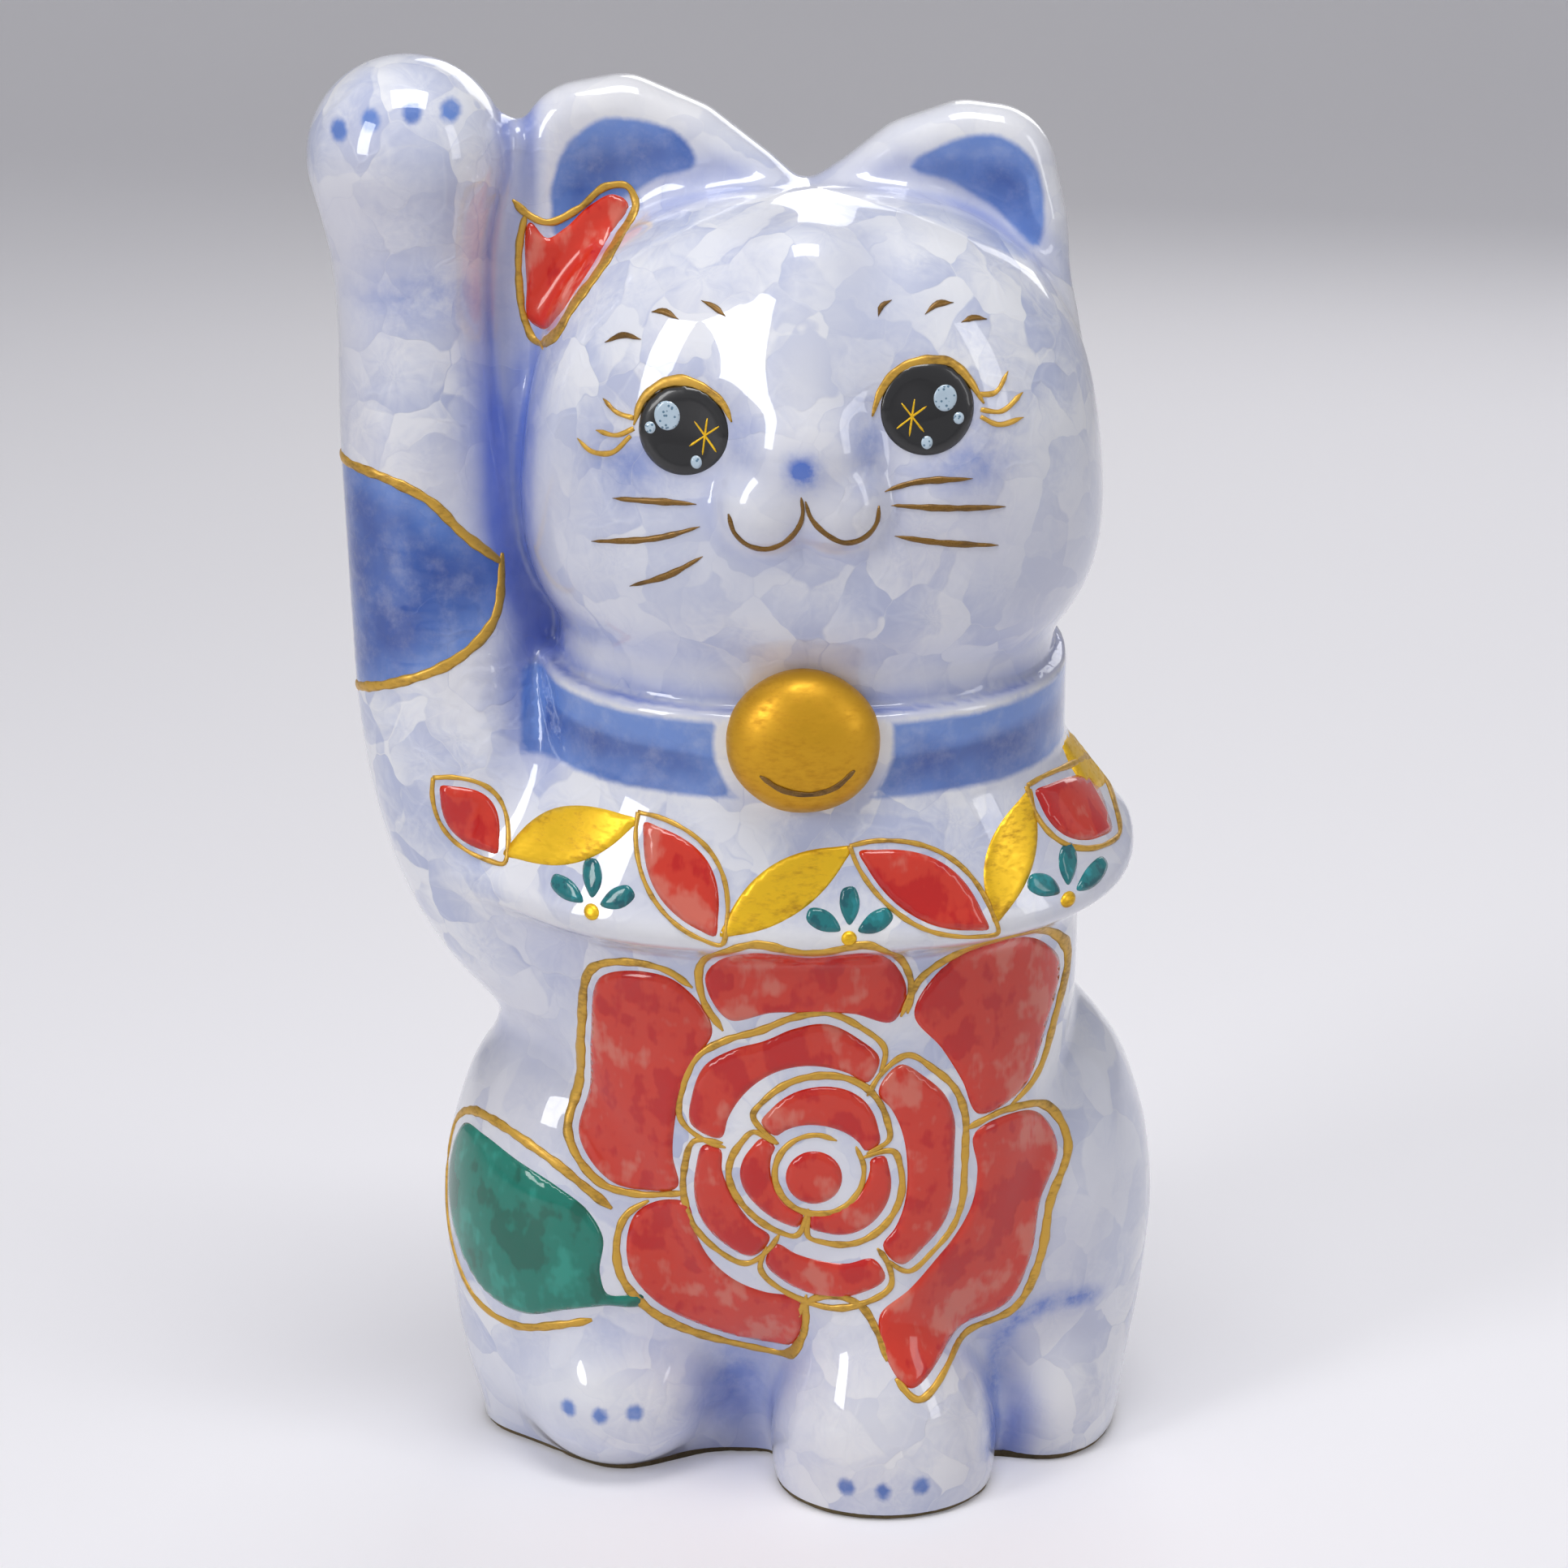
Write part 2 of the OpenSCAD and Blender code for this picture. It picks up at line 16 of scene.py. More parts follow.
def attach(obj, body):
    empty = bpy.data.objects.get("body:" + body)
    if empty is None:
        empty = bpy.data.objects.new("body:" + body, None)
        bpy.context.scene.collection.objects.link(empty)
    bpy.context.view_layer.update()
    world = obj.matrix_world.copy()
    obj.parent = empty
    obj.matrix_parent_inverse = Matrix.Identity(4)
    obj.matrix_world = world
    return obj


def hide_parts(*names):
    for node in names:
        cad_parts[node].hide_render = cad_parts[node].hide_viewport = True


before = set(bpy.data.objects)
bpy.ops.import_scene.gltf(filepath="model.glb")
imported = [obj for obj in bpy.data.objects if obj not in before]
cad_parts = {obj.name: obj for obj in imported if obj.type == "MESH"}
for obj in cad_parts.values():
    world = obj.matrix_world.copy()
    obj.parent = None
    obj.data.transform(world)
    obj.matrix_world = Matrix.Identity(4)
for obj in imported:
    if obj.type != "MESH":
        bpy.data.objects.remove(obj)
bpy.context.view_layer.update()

MM = 0.001
VOXEL = 1.0     # mm, spacing of the skin's mesh
FOOT_H = 0.8                            # mm, height of the bare foot
WALL = 1.6                              # mm, wall of each casting
rng = np.random.default_rng(7)


# ---- smooth forms, in mm ---------------------------------------------------

def join(a, b, k):
    """Smooth union: a fillet of about k mm where two forms meet."""
    h = np.clip(0.5 + 0.5 * (b - a) / k, 0.0, 1.0)
    return b * (1 - h) + a * h - k * h * (1 - h)


def carve(a, b, k):
    """Form a with form b taken away, the edge rounded over k mm."""
    return -join(-a, b, k)


def ellipsoid(x, y, z, centre, radii):
    dx, dy, dz = x - centre[0], y - centre[1], z - centre[2]
    share = np.sqrt((dx / radii[0]) ** 2 + (dy / radii[1]) ** 2 + (dz / radii[2]) ** 2)
    steep = np.sqrt((dx / radii[0] ** 2) ** 2 + (dy / radii[1] ** 2) ** 2 + (dz / radii[2] ** 2) ** 2)
    return share * (share - 1) / np.maximum(steep, 1e-6)


def cone(x, y, z, a, b, ra, rb):
    """A round limb from a to b whose radius runs from ra to rb."""
    ax, ay, az = (b[i] - a[i] for i in range(3))
    length2 = ax * ax + ay * ay + az * az
    t = np.clip(((x - a[0]) * ax + (y - a[1]) * ay + (z - a[2]) * az) / length2, 0, 1)
    d = np.sqrt((x - a[0] - t * ax) ** 2 + (y - a[1] - t * ay) ** 2 + (z - a[2] - t * az) ** 2)
    return d - (ra + t * (rb - ra))


def eased(table, column, z):
    """A column of a table of sections at heights z, on a smooth curve through its rows."""
    zs = np.array([r[0] for r in table], float)
    vs = np.array([r[column] for r in table], float)
    slopes = np.gradient(vs, zs)
    i = np.clip(np.searchsorted(zs, z) - 1, 0, len(zs) - 2)
    h = zs[i + 1] - zs[i]
    t = np.clip((z - zs[i]) / h, 0, 1)
    return ((2 * t ** 3 - 3 * t ** 2 + 1) * vs[i] + (t ** 3 - 2 * t ** 2 + t) * h * slopes[i]
            + (3 * t ** 2 - 2 * t ** 3) * vs[i + 1] + (t ** 3 - t ** 2) * h * slopes[i + 1])


def column(x, y, z, table, square=2.3, cap=6.0):
    """A standing form through sections [z, x centre, y centre, half width, front, back]."""
    low, high = table[0][0], table[-1][0]
    zc = np.clip(z, low, high)
    lut_z = np.linspace(low, high, 240)
    at = [np.interp(zc, lut_z, eased(table, k, lut_z)) for k in range(1, 6)]
    dx, dy = np.abs(x - at[0]), y - at[1]
    depth = np.where(dy < 0, at[3], at[4])
    u, v = dx / at[2], np.abs(dy) / depth
    f = (u ** square + v ** square + 1e-9) ** (1 / square)
    steep = np.sqrt((u ** (square - 1) / at[2]) ** 2 + (v ** (square - 1) / depth) ** 2)
    steep = f ** (1 - square) * steep
    side = (f - 1) / np.maximum(steep, 1e-4)
    return -join(-side, -np.maximum(low - z, z - high), cap)


def outline_distance(u, v, points):
    """Signed distance in 2D to a closed polygon, negative inside."""
    best = np.full(np.shape(u), 1e9)
    inside = np.zeros(np.shape(u), bool)
    for (ax, ay), (bx, by) in zip(points, np.roll(points, -1, 0)):
        ex, ey = bx - ax, by - ay
        t = np.clip(((u - ax) * ex + (v - ay) * ey) / (ex * ex + ey * ey), 0, 1)
        best = np.minimum(best, (u - ax - t * ex) ** 2 + (v - ay - t * ey) ** 2)
        crosses = ((ay > v) != (by > v)) & (u < ex * (v - ay) / (ey if abs(ey) > 1e-9 else 1e-9) + ax)
        inside ^= crosses
    return np.where(inside, -1, 1) * np.sqrt(best)


# ---- the cat's forms -------------------------------------------------------

# Each standing form: sections of height, x centre, y centre, half width, front and back depth.
BODY = [
    [-6, 2, 3, 38.0, 13.5, 28],
    [2, 2, 3, 38.4, 13.5, 28.6],
    [12, 2.5, 3, 36.5, 16.5, 30],
    [24, 4.0, 3, 32.0, 24.0, 30],
    [38, 3.6, 3, 31.0, 29.0, 29],
    [52, 1.4, 2, 33.2, 28.5, 27],
    [64, 0.3, 1, 35.3, 26.8, 26],
    [76, 0, 0, 35.2, 25.6, 24],
    [90, 0, -1, 32.0, 25.0, 23],
    [104, 0.8, -1, 31.2, 25.2, 23],
    [113, 0.8, -1, 31.0, 25.0, 23],
]
HAUNCH = [
    [-6, 0, 0, 17.3, 11, 20],
    [2, 0, 0, 18.0, 12.5, 20.5],
    [10, 0.2, 0, 19.8, 16.5, 23.5],
    [21, 0.4, 0, 21.3, 21.5, 25],
    [33, 0.4, 0, 22.0, 23, 25],
    [44, 0, 0, 20.6, 21, 23],
    [53, -1.0, 0, 17.6, 17.5, 18.5],
    [60, -2.6, 0, 12.2, 10.5, 11.5],
    [63.5, -3.5, 0, 6.0, 5.0, 5.0],
]
BIB = [
    [-13, 0, 0, 34.0, 22.0, 18],
    [-6.0, 0, 0, 36.0, 25.4, 20],
    [-2.8, 0, 0, 39.4, 28.6, 21.3],
    [-0.6, 0, 0, 42.2, 31.2, 22],
    [1.2, 0, 0, 42.5, 31.5, 22],
    [3.8, 0, 0, 40.8, 30.2, 22],
    [9, 0, 0, 37.0, 28.0, 21],
    [16, 0, 0, 32.4, 25.2, 19.5],
    [24, 0, 0, 29.5, 22.8, 18],
]
BIB_Z, BIB_TILT = 81.5, math.radians(11)
# The raised arm's stations: x, y, z, radius.
ARM = [
    (-25.0, 1.0, 55.0, 5.0), (-30.0, 0.0, 64.5, 9.5), (-34.4, -1.0, 72.5, 12.0),
    (-38.0, -1.6, 81.0, 13.2), (-41.2, -2.0, 91.0, 13.0), (-43.6, -2.0, 101.0, 12.0),
    (-44.9, -2.0, 111.0, 11.2), (-46.0, -2.0, 122.0, 10.5), (-47.0, -2.0, 135.0, 9.9),
    (-47.3, -2.0, 148.0, 9.5), (-47.6, -2.0, 158.0, 10.0),
]
PAW = (-47.7, -2.0, 167.6)
PAW_R = 12.3
# The ears' outlines, 8 mm inside their edge, seen from the front.
EAR_GROW = 8.0
EAR_R = [
    (-5, 155), (-8.5, 161.3), (-15, 166.3), (-21.8, 169.2), (-26.2, 168.4), (-27, 158), (-27, 149),
]
EAR_L = [
    (8.5, 154.5), (9.8, 160.2), (15, 164.2), (20.4, 166), (23.4, 165.6), (25, 159), (25.6, 149),
]
COLLAR_TILT = math.radians(7)
COLLAR_Z, COLLAR_H = 101.5, 5.9          # height of its middle, half its own height
COLLAR_RING = (0.5, -1, 33.0, 27.4, 24.4)
BELL = (0.5, -27.8, 100.6)
BELL_R = 9.3
HAUNCHES = ((-1, 3.0), (1, 7.0))        # side, y centre
HAUNCH_X = 24.0
HEAD = (1.6, -3.0, 133.2)
HEAD_HALF = (35.6, 28.6, 31.0)
EYE_HOLLOWS = ((-13.6, 137.6), (14.9, 139.8))
FAR = 20.0                              # mm, the value that near() gives elsewhere
# Right hind foot, left hind foot, front paw: centre, radii, fillet to the body.
FEET = [
    ((-23.2, -7.0, 11.0), (13.4, 15.6, 12.2), 5.5),
    ((31.6, -1.0, 7.0), (10.2, 13.0, 13.8), 4.0),
    ((10.8, -17.0, 5.6), (14.4, 14.2, 16.8), 5.0),
]


def tilted(y, z, angle):
    """y and z as measured along axes that tip forward by an angle."""
    c, s = math.cos(angle), math.sin(angle)
    return y * c + z * s, -y * s + z * c


def body_forms(x, y, z):
    d = column(x, y, z, BODY, 2.35)
    for side, cy in HAUNCHES:
        haunch = column(side * (x - side * HAUNCH_X), y - cy, z, HAUNCH, 2.05, 3.0)
        d = join(d, haunch, 3.6)
    return d


def bib_form(x, y, z):
    """The bib's bell-shaped skirt, with its lip."""
    return column(x, *tilted(y, z - BIB_Z, BIB_TILT), BIB, 2.35, 1.5)


def head_form(x, y, z):
    """A squarish head, wider at the cheeks than at the brow."""
    half_x, half_y, half_z = HEAD_HALF
    dz = z - HEAD[2]
    width = half_x - 0.105 * dz - 0.0016 * dz ** 2
    u = np.abs(x - HEAD[0]) / width
    v = np.abs(y - HEAD[1]) / (half_y - 0.04 * dz)
    w = np.abs(dz) / half_z
    k, m = 2.35, 2.75       # squareness seen from above, and from the front
    flat = (u ** k + v ** k + 1e-9) ** (1 / k)
    f = (flat ** m + w ** m + 1e-9) ** (1 / m)
    gx = f ** (1 - m) * flat ** (m - k) * u ** (k - 1) / width
    gy = f ** (1 - m) * flat ** (m - k) * v ** (k - 1) / half_y
    gz = f ** (1 - m) * w ** (m - 1) / half_z
    return (f - 1) / np.maximum(np.sqrt(gx ** 2 + gy ** 2 + gz ** 2), 1e-3)


def face_forms(x, y, z):
    """The head with its eye hollows, the bridge of its nose, and its muzzle."""
    d = head_form(x, y, z)
    for cx, cz in EYE_HOLLOWS:
        d = carve(d, ellipsoid(x, y, z, (cx * 0.98, -40.4, cz), (10.5, 10.0, 9.5)), 5.0)
    d = join(d, cone(x, y, z, (0.6, -22.4, 156), (0.4, -28.6, 138), 4.2, 5.2), 8.0)
    d = join(d, ellipsoid(x, y, z, (0.4, -29.9, 134.0), (6.0, 4.6, 5.4)), 5.0)
    for cx in (-4.0, 4.7):
        d = join(d, ellipsoid(x, y, z, (cx, -30.5, 129.8), (5.5, 4.5, 5.4)), 1.5)
    return d


def ear_form(x, y, z, outline, dish_x, dish_z):
    """A thick rounded ear with a shallow dish in its front."""
    plate = outline_distance(x, z, outline) - EAR_GROW
    edge, half = 3.9, 4.9
    a, b = plate + edge, np.abs(y - 1.0) - half + edge
    d = np.sqrt(np.maximum(a, 0) ** 2 + np.maximum(b, 0) ** 2) + np.minimum(np.maximum(a, b), 0) - edge
    dish = ellipsoid(x, y, z, (dish_x, -8.6, dish_z), (10.5, 6.6, 10.0))
    return carve(d, dish, 1.6)


def near(form, x, y, z, low, high):
    """A form's distance between two corners, and a far value elsewhere, to save time."""
    x, y, z = np.broadcast_arrays(x, y, z)
    inside = np.ones(x.shape, bool)
    for at, least, most in zip((x, y, z), low, high):
        inside &= (at > least) & (at < most)
    d = np.full(x.shape, FAR)
    if inside.any():
        d[inside] = form(x[inside], y[inside], z[inside])
    return d


def limb(x, y, z, stations, pieces):
    """A round limb through stations (x, y, z, radius), on a smooth curve."""
    knots = [[i, *s] for i, s in enumerate(stations)]
    t = np.linspace(0, len(stations) - 1, pieces + 1)
    path = np.stack([eased(knots, k, t) for k in range(1, 5)], 1)
    d = None
    for a, b in zip(path, path[1:]):
        part = cone(x, y, z, a[:3], b[:3], a[3], b[3])
        d = part if d is None else np.minimum(d, part)
    return d


def arm_form(x, y, z):
    """The raised arm, the ball of its paw, and the strip of clay that ties it to the head."""
    arm = join(limb(x, y, z, ARM, 44), ellipsoid(x, y, z, PAW, (PAW_R, PAW_R, PAW_R)), 3.5)
    strip = cone(x, y, z, (-35.0, 0.5, 96), (-36.0, 0.5, 168.5), 5.2, 3.4)
    web = cone(x, y, z, (-32.5, 3.5, 93), (-34.5, 3.0, 112), 6.5, 5.0)
    return join(join(arm, strip, 2.2), web, 2.2)


def collar_form(x, y, z):
    ty, tz = tilted(y, z - COLLAR_Z, COLLAR_TILT)
    ring = column(x, ty, 0 * tz, [[z_end, *COLLAR_RING] for z_end in (-1, 1)], 2.3, 0.01)
    return -join(-ring, -(np.abs(tz) - COLLAR_H), 1.4)


TAIL = [
    (15, 27, 7.5, 6.2), (9, 32.5, 9.5, 6.2), (2, 34.0, 14.5, 6.0),
    (-3.5, 33.2, 22, 5.8), (-5, 30.5, 30, 5.2),
]


def field(x, y, z):
    """Signed distance, in mm, to the glazed surface of the whole cat."""
    d = body_forms(x, y, z)
    for centre, radii, fillet in FEET:
        d = join(d, ellipsoid(x, y, z, centre, radii), fillet)
    d = join(d, cone(x, y, z, (9.6, -19.0, 12), (8.8, -17.5, 30), 8.6, 7.0), 6.0)
    d = join(d, near(lambda *p: limb(*p, TAIL, 24), x, y, z, (-20, 12, -5), (32, 50, 45)), 3.0)
    d = join(d, bib_form(x, y, z), 1.8)
    d = join(d, collar_form(x, y, z), 1.0)
    head = face_forms(x, y, z)
    for ear in ((EAR_R, -22.6, 163.6), (EAR_L, 21.6, 161.0)):
        raised = near(lambda *p: ear_form(*p, *ear), x, y, z, (-50, -18, 132), (46, 20, 190))
        head = join(head, raised, 3.4)
    d = join(d, head, 2.4)
    arm = near(arm_form, x, y, z, (-75, -30, 40), (-8, 26, 190))
    reach = 2.2 + 5.0 * np.clip((106.0 - z) / 12.0, 0, 1)
    d = join(d, arm, reach)
    return d


def slope(p, form=field):
    """Gradient of a form at points p, and its value."""
    h = 0.05
    g = np.empty_like(p)
    for axis in range(3):
        step = np.zeros(3)
        step[axis] = h
        a, b = p + step, p - step
        g[:, axis] = (form(*a.T) - form(*b.T)) / (2 * h)
    return g, form(*p.T)


def outward(p, form=field):
    """The normals of a form at points p."""
    g, _ = slope(p, form)
    return g / np.linalg.norm(g, axis=1)[:, None]


def settle(p, form=field):
    """Moves points onto a form's surface along its slope; returns them and the normals."""
    for _ in range(3):
        g, f = slope(p, form)
        p = p - g * (np.clip(f, -1, 1) / np.maximum((g ** 2).sum(1), 0.05))[:, None]
    return p, outward(p, form)


def skin_mesh():
    """The whole surface as points, triangles and quads."""
    low, high = np.array([-64.0, -40.0, -4.0]), np.array([50.0, 44.0, 184.0])
    axes = [np.arange(low[i], high[i], VOXEL) for i in range(3)]
    values = np.empty([len(a) for a in axes], np.float32)
    y, z = np.meshgrid(axes[1], axes[2], indexing="ij")
    for i in range(0, len(axes[0]), 16):
        x = axes[0][i:i + 16][:, None, None]
        values[i:i + 16] = field(x + 0 * y, y + 0 * x, z + 0 * x)
    grid = openvdb.FloatGrid(4.0)
    grid.copyFromArray(np.clip(values, -4, 4))
    points, triangles, quads = grid.convertToPolygons(0.0)
    p = np.asarray(points, float) * VOXEL + low
    return p, np.asarray(triangles), np.asarray(quads)


# ---- parting the skin into its castings ------------------------------------

def across(y, z):
    """Height above the collar's middle plane, which tilts to the front."""
    return tilted(y, z - COLLAR_Z, COLLAR_TILT)[1]


ARM_SEAM = -36.2                        # x where the arm is luted to the head and body
COLLAR_SEAM = COLLAR_H - 0.3            # above and below the collar's middle plane
# Each casting luted to the body: x from, to; y from, to; z from, to.
BOXES = {
    "raised_arm": (-80, ARM_SEAM, -50, 50, 64, 190),
    "front_leg": (-4.0, 25.0, -50, -15, -9, 25),
    "right_hind_foot": (-37.5, -9, -50, -9, -9, 21),
    "left_hind_foot": (25.0, 44, -50, -3, -9, 18.5),
    "tail": (-12, 24, 30, 50, -9, 37),
}
# Each ear: x from, to; a point of its lower edge; the rise of that edge with x.
EARS = {
    "right_ear": (ARM_SEAM, -4, (-20, 157.0), 0.42),
    "left_ear": (7.5, 40, (20, 155.6), -0.46),
}


def box_planes(box):
    """The six planes of a box, each negative inside."""
    return [lambda p, i=i, way=way: way * (p[:, i // 2] - box[i]) for i, way in enumerate((-1, 1) * 3)]


def ear_planes(low, high, at, rise):
    return [
        lambda p: low - p[:, 0],
        lambda p: p[:, 0] - high,
        lambda p: np.abs(p[:, 1] - 1.0) - 6.5,
        lambda p: at[1] + rise * (p[:, 0] - at[0]) - p[:, 2]]


def seams():
    """Every casting's name with the planes that bound it, each negative inside."""
    for name, box in BOXES.items():
        yield name, box_planes(box)
    for name, ear in EARS.items():
        yield name, ear_planes(*ear)
    yield "collar_band", [
        lambda p: ARM_SEAM - p[:, 0],
        lambda p: across(p[:, 1], p[:, 2]) - COLLAR_SEAM,
        lambda p: -across(p[:, 1], p[:, 2]) - COLLAR_SEAM]
    yield "head_casting", [
        lambda p: ARM_SEAM - p[:, 0],
        lambda p: COLLAR_SEAM - across(p[:, 1], p[:, 2])]


ON_SEAM = 0.06          # mm, points this near a seam count as on it
SMALLEST = 250          # triangles; a smaller island joins the casting round it


def cut(points, faces, side, candidates):
    """Cuts the candidate triangles where side changes sign, and their neighbours with them."""
    s = side(points)
    s = np.where(np.abs(s) < ON_SEAM, 0.0, s)
    follow = np.roll(faces, -1, 1)
    crosses = (s[faces] * s[follow] < 0) & candidates[:, None]
    key = np.minimum(faces, follow) * len(points) + np.maximum(faces, follow)
    cut_keys = np.unique(key[crosses])
    low, high = cut_keys // len(points), cut_keys % len(points)
    t = (s[low] / (s[low] - s[high]))[:, None]
    fresh = points[low] + t * (points[high] - points[low])
    is_cut = np.isin(key, cut_keys)
    number = len(points) + np.searchsorted(cut_keys, key)
    count = is_cut.sum(1)
    out = [faces[count == 0]]
    for k in range(3):
        once = (count == 1) & is_cut[:, k]
        a, b, c = (faces[once, (k + i) % 3] for i in range(3))
        e = number[once, k]
        out += [np.stack([a, e, c], 1), np.stack([e, b, c], 1)]
        twice = (count == 2) & is_cut[:, k] & is_cut[:, (k + 1) % 3]
        a, b, c = (faces[twice, (k + i) % 3] for i in range(3))
        e, f = number[twice, k], number[twice, (k + 1) % 3]
        out += [np.stack([e, b, f], 1), np.stack([a, e, f], 1), np.stack([a, f, c], 1)]
    return np.concatenate([points, fresh]), np.concatenate(out)


def inside(p, planes, slack=0.0):
    """Which points lie inside all the planes, or within slack of them."""
    mask = np.ones(len(p), bool)
    for plane in planes:
        mask &= plane(p) < slack
    return mask


def castings(points, faces):
    """The skin, cut flat over its foot and along the seams, with each triangle's casting."""
    whole = np.ones(len(faces), bool)
    points, faces = cut(points, faces, lambda p: FOOT_H - p[:, 2], whole)
    faces = faces[points[faces].mean(1)[:, 2] > FOOT_H]
    parts = list(seams())
    for _, planes in parts:
        for plane in planes:
            middle = points[faces].mean(1)
            close = inside(middle, [q for q in planes if q is not plane], 3.0)
            close &= np.abs(plane(middle)) < 4.0
            points, faces = cut(points, faces, plane, close)
    middle = points[faces].mean(1)
    owner = np.full(len(faces), "body_casting", dtype=object)
    for name, planes in reversed(parts):
        owner[inside(middle, planes)] = name
    return points, faces, join_islands(faces, owner)


def join_islands(faces, owner):
    """Gives each small island of a casting to the casting that it lies in."""
    follow = np.roll(faces, -1, 1)
    span = int(faces.max()) + 1
    key = (np.minimum(faces, follow) * span + np.maximum(faces, follow)).ravel()
    order = np.argsort(key, kind="stable")
    twins = key[order][:-1] == key[order][1:]
    a, b = order[:-1][twins] // 3, order[1:][twins] // 3
    same = owner[a] == owner[b]
    label = np.arange(len(faces))
    while True:
        lower = label.copy()
        np.minimum.at(lower, a[same], label[b[same]])
        np.minimum.at(lower, b[same], label[a[same]])
        lower = lower[lower]
        if np.array_equal(lower, label):
            break
        label = lower
    small = np.bincount(label, minlength=len(faces))[label] < SMALLEST
    for own, other in ((a, b), (b, a)):
        border = small[own] & ~small[other]
        for island in np.unique(label[own[border]]):
            beside = owner[other[border & (label[own] == island)]]
            names, counts = np.unique(beside.astype(str), return_counts=True)
            owner[label == island] = names[np.argmax(counts)]
    return owner


def shell(points, faces, normals):
    """The wall of a casting: the skin, its inside, and a rim along each open edge."""
    n = len(points)
    follow = np.roll(faces, -1, 1)
    forward = faces.ravel() * n + follow.ravel()
    backward = follow.ravel() * n + faces.ravel()
    open_edge = ~np.isin(forward, backward)
    a, b = faces.ravel()[open_edge], follow.ravel()[open_edge]
    rim = np.concatenate([np.stack([b, a, a + n], 1), np.stack([b, a + n, b + n], 1)])
    both = np.concatenate([points, points - normals * WALL])
    return both, np.concatenate([faces, faces[:, ::-1] + n, rim]), np.concatenate([normals, -normals])


# ---- painting under the glaze ------------------------------------------------

def curve(points, step, closed=False):
    """A smooth line through control points, resampled at even steps."""
    p = np.array(points, float)
    if closed:
        p = np.concatenate([p[-2:], p, p[:3]])
    length = np.concatenate([[0], np.cumsum(np.linalg.norm(np.diff(p, axis=0), axis=1))])
    start, end = (length[2], length[-3]) if closed else (0, length[-1])
    n = max(int(round((end - start) / step)), 3)
    at = np.linspace(start, end, n + 1)[:-1 if closed else None]
    table = [[s, *q] for s, q in zip(length, p)]
    return np.stack([eased(table, 1, at), eased(table, 2, at)], 1)


# The toes' dots, the ears' insides and the arm's patch, seen from the front.
PAW_DOTS = [(-55.0, 171.7), (-51.1, 173.0), (-46.1, 173.9), (-41.7, 173.9)]
HIND_DOTS = [(-29.4, 11.0), (-25.3, 10.6), (-20.9, 11.0)]
FRONT_DOTS = [(5.9, 4.5), (10.5, 4.2), (15.3, 4.7)]
EAR_BLUE_R = [
    (-29.4, 157.6), (-30.3, 163.6), (-28.0, 169.4), (-24.3, 172.2), (-19.3, 172.2),
    (-13.4, 169.4), (-12.4, 167.0), (-17.0, 165.0), (-23.0, 161.6),
]
EAR_BLUE_L = [
    (13.4, 166.6), (17.4, 169.2), (23.8, 170.4), (28.3, 167.5), (29.9, 161.6),
    (29.2, 156.6), (24.0, 161.0), (18.6, 164.4),
]
ARM_AXIS, ARM_RADIUS = (-46.6, -2.0), 10.3
HAUNCH_AXIS, HAUNCH_RADIUS = (-24.0, 3.0), 21.5


def turned(points, radius):
    """Points given as (degrees round a post, height) turned into (arc length, height)."""
    return [(math.radians(a) * radius, z) for a, z in points]


ARM_TOP = turned([
    (-152, 130.4), (-100, 131.0), (-60, 130.6), (-20, 129.3), (9, 126.7), (30, 122.6), (58, 118.3),
], ARM_RADIUS)
ARM_LOW = turned([
    (60, 119.4), (47, 111.8), (18, 106.8), (-14, 104.2), (-60, 102.2), (-100, 101.4), (-152, 102.4),
], ARM_RADIUS)
ARM_BACK = turned([(-152, 130.4), (-166, 122.0), (-168, 112.0), (-152, 102.4)], ARM_RADIUS)

# Soft washes of cobalt: centre, radii, strength.
WASHES = [
    ((0.4, -34.5, 134.7), (1.9, 4.0, 1.9), 1.5),
    ((-8.0, -18.0, 12.0), (3.6, 9.0, 6.5), 0.85),
    ((-21.0, -30.0, 134.0), (5.5, 8.0, 3.6), 0.62),
    ((-6.6, -30.0, 137.6), (2.0, 8.0, 4.0), 0.42),
    ((20.5, -30.0, 134.6), (5.5, 8.0, 3.2), 0.6),
    ((8.0, -30.0, 137.2), (2.4, 8.0, 4.6), 0.6),
    ((0.6, -33.0, 126.4), (2.6, 4.0, 1.6), 0.3),
    ((-33.6, -9.0, 138.0), (2.6, 8.0, 26.0), 0.5),
    ((-45.0, -12.0, 151.5), (9.0, 9.0, 3.6), 0.55),
]
FOOT_CREASE = [(37.4, 22.3), (31.0, 22.2), (27.0, 20.2), (25.4, 15.0), (24.6, 6.0)]
# Places where the glaze lies thin over white porcelain, whitened also as painted highlight on the nose,
# muzzle, feet, bib lip and front of the arm: centre, radii, strength.
HIGHLIGHT_AND_THIN_SPOTS = [
    ((0.6, -28.0, 142.0), (4.0, 9.0, 9.0), 0.85),
    ((0.4, -34.0, 129.8), (9.5, 6.0, 5.0), 0.8),
    ((-22.5, 1.0, 171.0), (15.0, 9.0, 8.0), 1.1),
    ((22.5, 1.0, 169.0), (13.0, 9.0, 7.0), 1.1),
    ((-24.0, -20.0, 15.0), (9.0, 9.0, 6.0), 0.7),
    ((10.0, -28.0, 12.0), (9.0, 9.0, 7.0), 0.7),
    ((4.5, -24.0, 25.0), (4.0, 9.0, 6.0), 0.7),
    ((33.0, -12.0, 13.0), (6.0, 8.0, 6.0), 0.6),
    ((0.0, -32.0, 76.4), (44.0, 14.0, 2.4), 0.95),
    ((-50.0, -12.0, 117.0), (12.0, 12.0, 11.0), 0.8),
]


def blobs(p, table):
    """The strength at each point of a table of soft round spots."""
    total = np.zeros(len(p))
    for centre, radii, strength in table:
        total += strength * np.exp(-(((p - centre) / radii) ** 2).sum(1))
    return total


